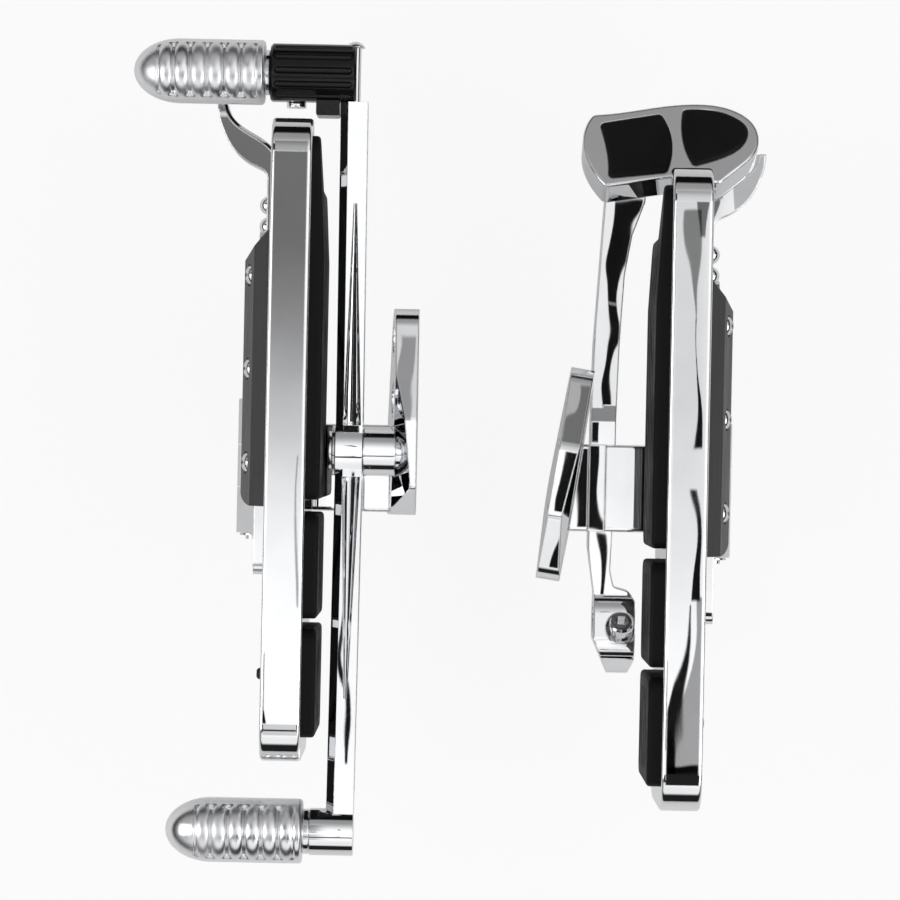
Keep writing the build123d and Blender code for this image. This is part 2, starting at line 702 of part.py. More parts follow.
def make_hinge_clip():
    """The open clip in the pin's groove."""
    start = -ear_span() - SIDE_PLAY - CLIP_THICKNESS
    ring = rod_y(HINGE_X, start, HINGE_Z, CLIP_RADIUS, CLIP_THICKNESS)
    ring -= rod_y(HINGE_X, start, HINGE_Z, clip_bore(), CLIP_THICKNESS)
    mouth = block(
        (HINGE_X - HINGE_PIN_RADIUS / 2, start - BITE, HINGE_Z - CLIP_RADIUS * 2),
        (
            HINGE_X + HINGE_PIN_RADIUS / 2,
            start + CLIP_THICKNESS + BITE,
            HINGE_Z - HINGE_PIN_RADIUS / 2,
        ),
    )
    return ring - mouth


def plate_wedge(bottom):
    """What is cut away so that a plate thickens steadily from its top to its bottom."""
    points = (
        (PLATE_THICKNESS, PLATE_TOP),
        (PLATE_THICKNESS + PLATE_FLARE, bottom),
        (HINGE_X, bottom),
        (HINGE_X, PLATE_TOP),
    )
    flat = Plane.XZ.offset(BOARD_REAR) * make_face(Polyline(*points, close=True))
    return extrude(flat, BOARD_LENGTH)


def plate_facet(facet):
    """What is cut away above the facet that widens along a plate's top edge."""
    (front_x, front_y), (rear_x, rear_y) = facet
    along = Vector(rear_x - front_x, rear_y - front_y, 0)
    down = Vector(PLATE_THICKNESS + PLATE_FLARE - rear_x, 0, -FACET_DROP)
    plane = Plane((front_x, front_y, PLATE_TOP), x_dir=along, z_dir=along.cross(down))
    slab = Box(BOARD_LENGTH, BOARD_LENGTH, HINGE_X, align=(Align.CENTER, Align.CENTER, Align.MIN))
    return plane.location * slab


def make_plate(outline, bottom, bolt_y, turn, facet):
    """A bracket's plate with two counterbored frame holes, turned about its bolts."""
    body = extrude(outline, PLATE_THICKNESS + PLATE_FLARE) - plate_wedge(bottom)
    body -= plate_facet(facet)
    for side in (-1, 1):
        y = bolt_y + side * FRAME_BOLT_PITCH / 2
        body -= rod_x(-BITE, y, 0, FRAME_HOLE_RADIUS, PLATE_THICKNESS * 3)
        body -= rod_x(PLATE_WALL, y, 0, COUNTERBORE_RADIUS, PLATE_THICKNESS * 3)
    return Pos(0, bolt_y, 0) * Rot(0, 0, turn) * Pos(0, -bolt_y, 0) * body


def make_arm():
    """The bracket's box arm and the hinge tongue at its end."""
    low = ARM_TOP - ARM_HEIGHT
    body = block(
        (PLATE_THICKNESS / 2, -ARM_WIDTH / 2, low), (ARM_WIDE_END, ARM_WIDTH / 2, ARM_TOP)
    )
    body = fillet(body.edges().filter_by(Axis.X), ARM_EDGE)
    root = Pos(ARM_WIDE_END - ARM_ROOT / 2, HINGE_Z) * Rectangle(ARM_ROOT, ARM_HEIGHT)
    knuckle = Pos(HINGE_X, HINGE_Z) * Edge.make_circle(EAR_RADIUS)
    flat = Plane((0, -TONGUE_WIDTH / 2, 0), x_dir=(1, 0, 0), z_dir=(0, -1, 0)) * make_hull(
        [knuckle, *root.edges()]
    )
    body += extrude(flat, -TONGUE_WIDTH)
    hole = rod_y(HINGE_X, -TONGUE_WIDTH, HINGE_Z, HINGE_PIN_RADIUS + FIT, TONGUE_WIDTH * 2)
    return body - hole


def make_left_bracket():
    """The left bracket: plate, arm and the bore that takes the shift pivot post."""
    rear, front = LEFT_PLATE
    outline = side_hull(
        0,
        (front - PLATE_CORNER, 0, PLATE_CORNER),
        (LEFT_SLOPE_TOP, PLATE_TOP - LEFT_SLOPE_CORNER, LEFT_SLOPE_CORNER),
        (rear + LEFT_SLOPE_CORNER, LEFT_SLOPE_LOW, LEFT_SLOPE_CORNER),
        (rear + PLATE_CORNER, PLATE_BOTTOM + PLATE_CORNER, PLATE_CORNER),
        (-rear, PLATE_BOTTOM + PLATE_CORNER, PLATE_CORNER),
        (-rear, PLATE_TOP - PLATE_CORNER, PLATE_CORNER),
    )
    body = make_plate(outline, PLATE_BOTTOM, LEFT_BOLT_Y, 0, LEFT_FACET) + make_arm()
    spigot = rod_x(PLATE_THICKNESS / 3, POST_Y, POST_Z, JOURNAL_RADIUS + FIT, HINGE_X)
    return body - spigot - rod_x(post_shoulder_x(), POST_Y, POST_Z, POST_RADIUS + FIT, HINGE_X)


def post_shoulder_x():
    """Where the post's large diameter begins, in a shallow spot face on the plate."""
    return PLATE_THICKNESS


def make_shift_post():
    """The turned post that the shift lever swings on."""
    start = PLATE_THICKNESS / 3
    shoulder_end = LEVER_NEAR - SEAT_GAP
    journal_end = LEVER_NEAR + LEVER_THICKNESS + SEAT_GAP
    post = rod_x(start, POST_Y, POST_Z, JOURNAL_RADIUS, journal_end - start)
    post += rod_x(
        post_shoulder_x(), POST_Y, POST_Z, POST_RADIUS, shoulder_end - post_shoulder_x()
    )
    depth = POST_SCREW_LENGTH
    bore = rod_x(journal_end - depth, POST_Y, POST_Z, CLAMP_BOLT_RADIUS + FIT, depth + BITE)
    return post - bore


def make_shift_washer():
    """The washer that keeps the shift lever on its post."""
    start = LEVER_NEAR + LEVER_THICKNESS + SEAT_GAP
    washer = rod_x(start, POST_Y, POST_Z, POST_RADIUS, WASHER_THICKNESS)
    return washer - rod_x(start, POST_Y, POST_Z, CLAMP_BOLT_RADIUS + FIT, WASHER_THICKNESS)


def make_shift_screw():
    """The low-head screw in the end of the post."""
    start = LEVER_NEAR + LEVER_THICKNESS + SEAT_GAP + WASHER_THICKNESS
    screw = socket_screw(
        POST_RADIUS - POST_SCREW_RIM,
        POST_SCREW_HEAD,
        CLAMP_BOLT_RADIUS,
        POST_SCREW_LENGTH,
        POST_SCREW_SOCKET,
        POST_SCREW_SOCKET_DEPTH,
    )
    return Pos(start, POST_Y, POST_Z) * Rot(0, 90, 0) * screw


def make_bush(x, y, z, journal, length):
    """A plain bush between a journal and its lever's hub."""
    ring = rod_x(x, y, z, journal + FIT + BUSH_WALL, length)
    return ring - rod_x(x, y, z, journal + FIT, length)


def arm_solid(near, length, *circles):
    """A lever arm: the taut outline round its circles, extruded along +X."""
    return extrude(side_hull(near, *circles), length)


def make_shift_lever():
    """The heel and toe lever: hub, two fluted arms and a boss for the heel peg."""
    hub = (POST_Y, POST_Z, LEVER_ROOT_HEIGHT / 2)
    toe = (TOE_Y, TOE_Z, LEVER_TIP_HEIGHT / 2)
    heel = (HEEL_Y, HEEL_Z, LEVER_TIP_HEIGHT / 2)
    arms = [arm_solid(LEVER_NEAR, LEVER_THICKNESS, hub, tip) for tip in (toe, heel)]
    body = [chamfer(arm.edges().group_by(Axis.X)[-1], LEVER_BEVEL) for arm in arms]
    body = body[0] + body[1]
    body += rod_x(LEVER_NEAR, POST_Y, POST_Z, HUB_RADIUS, LEVER_THICKNESS)
    body += rod_x(LEVER_NEAR, HEEL_Y, HEEL_Z, HEEL_BOSS_RADIUS, LEVER_THICKNESS + HEEL_BOSS_LENGTH)
    body -= block(
        (0, clamp_flat_y(), PLATE_BOTTOM), (HINGE_X, TOE_Y * 2, TOE_Z + HINGE_X)
    )
    for tip in ((TOE_Y, TOE_Z), (HEEL_Y, HEEL_Z)):
        body -= [flute(*tip), scoop(*tip)]
    body -= rod_x(0, POST_Y, POST_Z, JOURNAL_RADIUS + FIT + BUSH_WALL, HINGE_X)
    body -= rod_y(
        clamp_bolt_x(), clamp_flat_y() - CLAMP_BOLT_GRIP, TOE_Z, CLAMP_BOLT_RADIUS + FIT, HINGE_X
    )
    outer = LEVER_NEAR + LEVER_THICKNESS + HEEL_BOSS_LENGTH
    spigot = PEG_SPIGOT_RADIUS + FIT
    return body - rod_x(outer - PEG_SPIGOT_LENGTH, HEEL_Y, HEEL_Z, spigot, HINGE_X)


def scoop(tip_y, tip_z):
    """The round hollow along an arm's top edge, deepest at the hub."""
    run = Vector(0, tip_y - POST_Y, tip_z - POST_Z)
    along = run.normalized()
    up = Vector(1, 0, 0).cross(along)
    up = up if up.Z > 0 else -up
    narrowing = (LEVER_ROOT_HEIGHT - LEVER_TIP_HEIGHT) / 2 / run.length
    line = (along - up * narrowing).normalized()
    start = Vector(LEVER_NEAR + SCOOP_X, POST_Y, POST_Z) + up * (LEVER_ROOT_HEIGHT / 2)
    low = (Align.CENTER, Align.CENTER, Align.MIN)
    cone = Cone(SCOOP_RADIUS, SCOOP_END_RADIUS, SCOOP_LENGTH, align=low)
    return Plane(start + line * SCOOP_START, z_dir=line).location * cone


def flute(tip_y, tip_z):
    """The long recess in the inboard face of an arm, tapering with the arm."""
    run_y = tip_y - POST_Y
    run_z = tip_z - POST_Z
    length = hypot(run_y, run_z)
    start = (HUB_RADIUS + FLUTE_MARGIN) / length
    end = 1 - (CLAMP_RADIUS + FLUTE_MARGIN * 2) / length
    wide = LEVER_ROOT_HEIGHT / 2 - FLUTE_MARGIN
    slim = LEVER_TIP_HEIGHT / 2 - FLUTE_MARGIN
    first = (POST_Y + run_y * start, POST_Z + run_z * start, wide)
    last = (POST_Y + run_y * end, POST_Z + run_z * end, slim)
    return arm_solid(LEVER_NEAR, FLUTE_DEPTH, first, last)


def clamp_centre_y():
    """Where the toe clamp's axis lies, just ahead of the lever's own line."""
    return TOE_Y + CLAMP_AHEAD


def clamp_flat_y():
    """The flat seat between the lever's end and the toe clamp."""
    return clamp_centre_y() - CLAMP_FLAT


def clamp_bolt_x():
    """The middle of the lever's thickness, where the clamp bolt enters."""
    return LEVER_NEAR + LEVER_THICKNESS / 2


def make_toe_clamp():
    """The fluted clamp on the lever's toe end, with a foot along the lever's face."""
    y = clamp_centre_y()
    body = rod_x(CLAMP_NEAR, y, TOE_Z, CLAMP_RADIUS, CLAMP_LENGTH)
    body = chamfer(body.edges().filter_by(GeomType.CIRCLE), CLAMP_EDGE)
    body -= block((0, 0, -HINGE_X), (HINGE_X * 2, clamp_flat_y(), HINGE_X * 2))
    near = LEVER_NEAR + LEVER_THICKNESS + SEAT_GAP
    foot = block(
        (near, y - CLAMP_FOOT_REACH, TOE_Z - CLAMP_FOOT_HEIGHT / 2),
        (near + CLAMP_FOOT_LENGTH, y, TOE_Z + CLAMP_FOOT_HEIGHT / 2),
    )
    body += fillet(foot.edges().filter_by(Axis.Z), CLAMP_EDGE)
    run = CLAMP_LENGTH - CLAMP_FLUTE_START * 2
    middle = (CLAMP_FLUTES - 1) / 2
    for n in range(CLAMP_FLUTES):
        angle = radians((n - middle) * CLAMP_FLUTE_SPREAD)
        flute_y = y + CLAMP_RADIUS * sin(angle)
        flute_z = TOE_Z + CLAMP_RADIUS * cos(angle)
        start = CLAMP_NEAR + CLAMP_FLUTE_START
        body -= rod_x(start, flute_y, flute_z, CLAMP_FLUTE_RADIUS, run)
        body -= Pos(start, flute_y, flute_z) * Sphere(CLAMP_FLUTE_RADIUS)
        body -= Pos(start + run, flute_y, flute_z) * Sphere(CLAMP_FLUTE_RADIUS)
    seat = clamp_head_y()
    body -= rod_y(clamp_bolt_x(), seat, TOE_Z, CLAMP_BOLT_HEAD_RADIUS + SEAT_GAP, CLAMP_RADIUS)
    body -= rod_y(clamp_bolt_x(), 0, TOE_Z, CLAMP_BOLT_RADIUS + FIT, TOE_Y * 2)
    end = CLAMP_NEAR + CLAMP_LENGTH
    return body - rod_x(end - PEG_SPIGOT_LENGTH, y, TOE_Z, PEG_SPIGOT_RADIUS + FIT, HINGE_X)


def clamp_head_y():
    """The seat of the clamp bolt's head on the clamp's front."""
    return clamp_centre_y() + CLAMP_RADIUS - CLAMP_BOLT_SINK


def make_clamp_bolt():
    """The button-head bolt through the clamp into the lever's end."""
    length = clamp_head_y() - clamp_flat_y() + CLAMP_BOLT_GRIP - SCREW_END_GAP
    bolt = dome_screw(CLAMP_BOLT_HEAD_RADIUS, CLAMP_BOLT_HEAD, CLAMP_BOLT_RADIUS, length)
    return Pos(clamp_bolt_x(), clamp_head_y(), TOE_Z) * Rot(-90, 0, 0) * bolt


def make_lock_nut():
    """The round nut under the clamp that locks the toe peg's stem."""
    y = clamp_centre_y()
    z = TOE_Z - CLAMP_RADIUS / 2
    drop = sqrt(CLAMP_RADIUS**2 - (CLAMP_RADIUS / 2) ** 2)
    nut = rod_y(BOARD_TOP_X + BOARD_DEPTH / 2, y - drop - LOCK_NUT_LENGTH, z, LOCK_NUT_RADIUS, drop)
    body = rod_x(CLAMP_NEAR, y, TOE_Z, CLAMP_RADIUS, CLAMP_LENGTH)
    return nut - body


def make_peg(x, y, z, length, collar):
    """A bullet-nosed peg with cross ribs in a sunk field, above and below."""
    straight = length - PEG_NOSE
    profile = Polyline(
        (0, 0), (0, PEG_RADIUS - PEG_EDGE), (PEG_EDGE, PEG_RADIUS), (straight, PEG_RADIUS)
    )
    nose = Spline(
        (straight, PEG_RADIUS),
        (straight + PEG_NOSE * sin(pi / 4), PEG_RADIUS * cos(pi / 4)),
        (length, 0),
        tangents=[(1, 0), (0, -1)],
    )
    axis_line = Line((length, 0), (0, 0))
    shell = revolve(make_face([*profile.edges(), nose, axis_line]), Axis.X)
    field_length = PEG_RIB_PITCH * (PEG_RIB_COUNT - 1) + PEG_RIB_RADIUS * 2
    middle = PEG_FIELD_START + field_length / 2
    oval = RectangleRounded(field_length + PEG_RIB_RADIUS, PEG_FIELD_WIDTH, PEG_FIELD_CORNER)
    field = Pos(middle, 0, 0) * extrude(oval, PEG_RADIUS + BITE, both=True)
    core = rod_x(0, 0, 0, PEG_RADIUS - PEG_FIELD_DEPTH, length)
    shell -= field - core
    reach = degrees(asin((PEG_FIELD_WIDTH / 2 - PEG_EDGE) / PEG_RADIUS))
    section = Plane.XZ * Pos(0, PEG_RADIUS - PEG_RIB_RADIUS) * Circle(PEG_RIB_RADIUS)
    rib = Rot(-reach, 0, 0) * revolve(section, Axis.X, revolution_arc=reach * 2)
    for n in range(PEG_RIB_COUNT):
        place = PEG_FIELD_START + PEG_RIB_RADIUS + PEG_RIB_PITCH * n
        shell += Pos(place, 0, 0) * rib
        shell += Pos(place, 0, 0) * Rot(180, 0, 0) * rib
    stem = collar + PEG_SPIGOT_LENGTH - SCREW_END_GAP
    spigot = rod_x(-stem, 0, 0, PEG_SPIGOT_RADIUS, stem)
    return Pos(x + collar, y, z) * (shell + spigot)


def make_collar(x, y, z, length):
    """The collar between a peg and what carries it."""
    ring = rod_x(x, y, z, PEG_COLLAR_RADIUS, length)
    ring = chamfer(ring.edges().filter_by(GeomType.CIRCLE), COLLAR_EDGE)
    return ring - rod_x(x, y, z, PEG_SPIGOT_RADIUS + FIT, length)


def make_right_bracket():
    """The right bracket: turned plate, box arm, thin web and the brake pivot's lug."""
    rear, front = RIGHT_PLATE
    outline = side_hull(
        0,
        (front - PLATE_CORNER, 0, PLATE_CORNER),
        (rear + PLATE_CORNER, 0, PLATE_CORNER),
        (front / 2 - PLATE_CORNER, PLATE_TOP - PLATE_CORNER, PLATE_CORNER),
        (rear / 2 + PLATE_CORNER, PLATE_TOP - PLATE_CORNER, PLATE_CORNER),
        (0, BRAKE_POST_Z, BRAKE_LUG_RADIUS),
    )
    low = BRAKE_POST_Z - BRAKE_LUG_RADIUS
    body = make_plate(outline, low, RIGHT_BOLT_Y, -RIGHT_PLATE_TURN, RIGHT_FACET) + make_arm()
    body -= block(
        (WEB_START, -ARM_WIDTH, ARM_TOP - WEB_DROP), (WEB_END, ARM_WIDTH, ARM_TOP + WEB_DROP)
    )
    body -= rod_x(BRAKE_NEAR - SEAT_GAP, 0, BRAKE_POST_Z, BRAKE_LUG_RADIUS * 2, ARM_EDGE)
    spigot = rod_x(PLATE_THICKNESS / 3, 0, BRAKE_POST_Z, BRAKE_JOURNAL_RADIUS + FIT, HINGE_X)
    return body - spigot


def make_brake_post():
    """The turned post under the arm that the brake lever swings on."""
    start = PLATE_THICKNESS / 3
    end = BRAKE_NEAR + BRAKE_THICKNESS + SEAT_GAP
    post = rod_x(start, 0, BRAKE_POST_Z, BRAKE_JOURNAL_RADIUS, end - start)
    depth = POST_SCREW_LENGTH
    return post - rod_x(end - depth, 0, BRAKE_POST_Z, CLAMP_BOLT_RADIUS + FIT, depth + BITE)


def make_brake_washer():
    """The washer that keeps the brake lever on its post."""
    start = BRAKE_NEAR + BRAKE_THICKNESS + SEAT_GAP
    washer = rod_x(start, 0, BRAKE_POST_Z, BRAKE_POST_RADIUS, WASHER_THICKNESS)
    return washer - rod_x(start, 0, BRAKE_POST_Z, CLAMP_BOLT_RADIUS + FIT, WASHER_THICKNESS)


def make_brake_screw():
    """The low-head screw in the end of the brake post."""
    start = BRAKE_NEAR + BRAKE_THICKNESS + SEAT_GAP + WASHER_THICKNESS
    screw = socket_screw(
        BRAKE_JOURNAL_RADIUS,
        BRAKE_SCREW_HEAD,
        CLAMP_BOLT_RADIUS,
        POST_SCREW_LENGTH,
        BRAKE_SCREW_SOCKET,
        BRAKE_SCREW_SOCKET_DEPTH,
    )
    return Pos(start, 0, BRAKE_POST_Z) * Rot(0, 90, 0) * screw


def pinch_plane():
    """The plane of the eye's split, centred on the pinch bolt and facing its head."""
    lean = radians(PINCH_LEAN)
    y = CLAMP_EYE_Y - PINCH_OFFSET * cos(lean)
    z = CLAMP_EYE_Z + PINCH_OFFSET * sin(lean)
    return Plane((PINCH_X, y, z), x_dir=(1, 0, 0), z_dir=(0, sin(lean), cos(lean)))


def brake_plan():
    """The brake lever's outline from above, as one face."""
    far = BRAKE_NEAR + BRAKE_THICKNESS
    head_y = BRAKE_HEAD[0] + BRAKE_HEAD[2]
    knee_y = BRAKE_KNEE[0] * 2
    outline = [
        (BRAKE_NEAR, knee_y),
        *EYE_NEAR_PLAN,
        *EYE_FAR_PLAN,
        (far, 0),
        (far, knee_y),
        *PEDAL_NECK,
        (PEDAL_ARM_FAR, head_y),
        (PEDAL_ARM_NEAR, head_y),
    ]
    face = make_face(Polyline(*outline, close=True))
    corners = [v for v in face.vertices() if v.Y < 0]
    return fillet(corners, EYE_PLAN_CORNER)


def pedal_plane():
    """The brake pad's top plane, tipped forward."""
    lean = radians(PEDAL_TILT)
    origin = (PEDAL_CENTRE_X, PEDAL_CENTRE_Y, PEDAL_TOP_Z)
    return Plane(origin, x_dir=(1, 0, 0), z_dir=(0, sin(lean), cos(lean)))


def pedal_seat_cut():
    """Everything above the seat on which the brake pad lies."""
    size = BOARD_LENGTH
    slab = Box(size, size, size, align=(Align.CENTER, Align.CENTER, Align.MIN))
    return pedal_plane().location * Pos(0, 0, -PEDAL_THICKNESS) * slab


def pedal_screw_place():
    """The pad's screw, over the middle of the lever's end, in the pad's own plane."""
    x = (PEDAL_ARM_FAR + PEDAL_ARM_NEAR) / 2 - PEDAL_CENTRE_X
    return pedal_plane().location * Pos(x, -PEDAL_CORNER, 0)


def make_brake_lever():
    """The brake lever: bent arm, hub, split eye and the seat under the pad."""
    eye = (CLAMP_EYE_Y, CLAMP_EYE_Z, CLAMP_EYE_RADIUS)
    hub = (0, BRAKE_POST_Z, BRAKE_HUB_RADIUS)
    span = CLAMP_EYE_NEAR + CLAMP_EYE_THICKNESS - BRAKE_NEAR + PEDAL_ARM_FAR
    body = arm_solid(BRAKE_NEAR, span, hub, BRAKE_KNEE)
    body += arm_solid(BRAKE_NEAR, span, BRAKE_KNEE, BRAKE_HEAD)
    waist = (CLAMP_EYE_Y, CLAMP_EYE_Z, WAIST_RADIUS)
    body += arm_solid(BRAKE_NEAR, span, hub, waist)
    lug = pinch_plane().origin
    body += arm_solid(BRAKE_NEAR, span, eye, CLAMP_TAIL, (lug.Y, lug.Z, PINCH_LUG_RADIUS))
    body &= Pos(0, 0, BRAKE_POST_Z * 2) * extrude(brake_plan(), BOARD_LENGTH)
    body -= pedal_seat_cut()
    body -= rod_x(0, 0, BRAKE_POST_Z, BRAKE_JOURNAL_RADIUS + FIT + BUSH_WALL, HINGE_X)
    body -= rod_x(0, CLAMP_EYE_Y, CLAMP_EYE_Z, CLAMP_BORE_RADIUS, HINGE_X)
    place = pinch_plane().location
    split = Box(
        HINGE_X, CLAMP_EYE_RADIUS * 2, PINCH_SPLIT, align=(Align.CENTER, Align.MAX, Align.CENTER)
    )
    body -= place * Pos(0, PINCH_OFFSET, 0) * split
    room = Cylinder(
        PINCH_WASHER_RADIUS + SEAT_GAP, HINGE_X, align=(Align.CENTER, Align.CENTER, Align.MIN)
    )
    body -= place * Pos(0, 0, PINCH_SEAT) * room
    body -= place * Cylinder(PINCH_RADIUS + FIT, PINCH_LENGTH * 2)
    screw_hole = Cylinder(PEDAL_SCREW_RADIUS + FIT, BRAKE_HUB_RADIUS * 2)
    return body - pedal_screw_place() * Pos(0, 0, -PEDAL_THICKNESS) * screw_hole


def make_pinch_bolt():
    """The socket-head bolt that closes the split eye."""
    bolt = socket_screw(
        PINCH_HEAD_RADIUS,
        PINCH_HEAD,
        PINCH_RADIUS,
        PINCH_LENGTH,
        PINCH_HEAD_RADIUS,
        PINCH_HEAD / 2,
    )
    return pinch_plane().location * Pos(0, 0, PINCH_SEAT + PINCH_WASHER_THICKNESS) * bolt


def make_pinch_washer():
    """The washer under the pinch bolt's head."""
    low = (Align.CENTER, Align.CENTER, Align.MIN)
    ring = Cylinder(PINCH_WASHER_RADIUS, PINCH_WASHER_THICKNESS, align=low)
    ring -= Cylinder(PINCH_RADIUS + FIT, PINCH_WASHER_THICKNESS, align=low)
    return pinch_plane().location * Pos(0, 0, PINCH_SEAT) * ring


def make_pedal():
    """The cast brake pad: a tray with two pockets for the rubbers."""
    low = [Line(a, b) for a, b in zip(PEDAL_LOW, PEDAL_LOW[1:])]
    face = make_face([Spline(*PEDAL_SIDE), Spline(*PEDAL_TOP), *low])
    top = fillet(face.vertices(), PEDAL_CORNER)
    body = extrude(top, -PEDAL_THICKNESS)
    body = fillet(body.edges().group_by(Axis.Z)[-1], PEDAL_EDGE)
    for curves in (SQUARE_INSERT, DROP_INSERT):
        body -= extrude(curved_face(curves, INSERT_CORNER), -PEDAL_POCKET)
    body = pedal_plane().location * body
    hole = Cylinder(PEDAL_SCREW_RADIUS + FIT, PEDAL_THICKNESS * 3)
    head = Cylinder(
        PEDAL_SCREW_HEAD_RADIUS + SEAT_GAP,
        PEDAL_SCREW_HEAD,
        align=(Align.CENTER, Align.CENTER, Align.MAX),
    )
    place = pedal_screw_place()
    return body - place * hole - place * Pos(0, 0, -PEDAL_POCKET) * head


def make_pedal_screw():
    """The screw under the rubber that holds the pad to the lever."""
    length = PEDAL_THICKNESS - PEDAL_POCKET - PEDAL_SCREW_HEAD + PEDAL_SCREW_DEPTH
    screw = socket_screw(
        PEDAL_SCREW_HEAD_RADIUS,
        PEDAL_SCREW_HEAD,
        PEDAL_SCREW_RADIUS,
        length,
        PEDAL_SCREW_HEAD_RADIUS * SOCKET_SHARE,
        PEDAL_SCREW_HEAD / 2,
    )
    return pedal_screw_place() * Pos(0, 0, -PEDAL_POCKET - PEDAL_SCREW_HEAD) * screw


def make_insert(curves):
    """A rubber that fills one pocket of the brake pad and stands a little proud."""
    body = extrude(curved_face(curves, INSERT_CORNER), PEDAL_POCKET + PEDAL_INSERT_RISE)
    body = chamfer(body.edges().group_by(Axis.Z)[-1], PEDAL_INSERT_RISE)
    return pedal_plane().location * Pos(0, 0, -PEDAL_POCKET) * body


def make_board_set(side, shift):
    """A folding board with its pads, wear block, horn, pin and fasteners."""
    return {
        f"{side}_board_casting": make_board(shift),
        f"{side}_front_pad": make_pad(FRONT_PAD, shift),
        f"{side}_middle_pad": make_pad(MIDDLE_PAD, shift),
        f"{side}_heel_pad": make_pad(HEEL_PAD, shift),
        f"{side}_pad_studs": make_pad_studs(shift),
        f"{side}_pad_nuts": make_pad_nuts(shift),
        f"{side}_wear_block": make_skid(shift),
        f"{side}_wear_block_screws": make_skid_screws(shift),
        f"{side}_horn": make_horn(shift),
        f"{side}_horn_bolts": make_horn_bolts(shift),
        f"{side}_hinge_pin": make_hinge_pin(),
        f"{side}_hinge_clip": make_hinge_clip(),
    }


def make_left_unit():
    """The shift side, in its own frame before it is mirrored."""
    toe_peg_x = CLAMP_NEAR + CLAMP_LENGTH
    heel_peg_x = LEVER_NEAR + LEVER_THICKNESS + HEEL_BOSS_LENGTH
    toe_y = clamp_centre_y()
    return make_board_set("left", LEFT_BOARD_SHIFT) | {
        "left_bracket": make_left_bracket(),
        "shift_pivot_post": make_shift_post(),
        "shift_pivot_bush": make_bush(LEVER_NEAR, POST_Y, POST_Z, JOURNAL_RADIUS, LEVER_THICKNESS),
        "shift_pivot_washer": make_shift_washer(),
        "shift_pivot_screw": make_shift_screw(),
        "shift_lever": make_shift_lever(),
        "toe_clamp": make_toe_clamp(),
        "toe_clamp_bolt": make_clamp_bolt(),
        "toe_lock_nut": make_lock_nut(),
        "toe_peg_collar": make_collar(toe_peg_x, toe_y, TOE_Z, PEG_COLLAR_LENGTH),
        "toe_peg": make_peg(toe_peg_x, toe_y, TOE_Z, PEG_LENGTH, PEG_COLLAR_LENGTH),
        "heel_peg_collar": make_collar(heel_peg_x, HEEL_Y, HEEL_Z, HEEL_COLLAR_LENGTH),
        "heel_peg": make_peg(heel_peg_x, HEEL_Y, HEEL_Z, HEEL_PEG_LENGTH, HEEL_COLLAR_LENGTH),
    }


def make_right_unit():
    """The brake side, in its own frame."""
    return make_board_set("right", RIGHT_BOARD_SHIFT) | {
        "right_bracket": make_right_bracket(),
        "brake_pivot_post": make_brake_post(),
        "brake_pivot_bush": make_bush(
            BRAKE_NEAR, 0, BRAKE_POST_Z, BRAKE_JOURNAL_RADIUS, BRAKE_THICKNESS
        ),
        "brake_pivot_washer": make_brake_washer(),
        "brake_pivot_screw": make_brake_screw(),
        "brake_lever": make_brake_lever(),
        "brake_pinch_bolt": make_pinch_bolt(),
        "brake_pinch_washer": make_pinch_washer(),
        "brake_pad_tray": make_pedal(),
        "brake_pad_screw": make_pedal_screw(),
        "brake_pad_rubber_inner": make_insert(SQUARE_INSERT),
        "brake_pad_rubber_outer": make_insert(DROP_INSERT),
    }


def build():
    """Both units at their places, as a dictionary of node names and shapes."""
    placed = {}
    for name, shape in make_left_unit().items():
        placed[name] = Pos(0, -LEFT_BOLT_Y, 0) * mirror(shape, about=Plane.YZ)
    for name, shape in make_right_unit().items():
        placed[name] = Pos(PAIR_GAP, -LEFT_BOLT_Y - RIGHT_SET_BACK, 0) * shape
    return placed


def main():
    """Write one file for each node."""
    os.makedirs("parts", exist_ok=True)
    for name, shape in build().items():
        export_step(shape, f"parts/{name}.step")


if __name__ == "__main__":
    main()
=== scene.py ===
"""Looks of a pair of folding motorcycle floorboards, in the frame of their solid model.

The boards stand folded up and are seen from straight above. Lengths are in metres.
"""

import json
import logging
import math
from collections.abc import Iterable
from dataclasses import dataclass, field
from enum import Enum

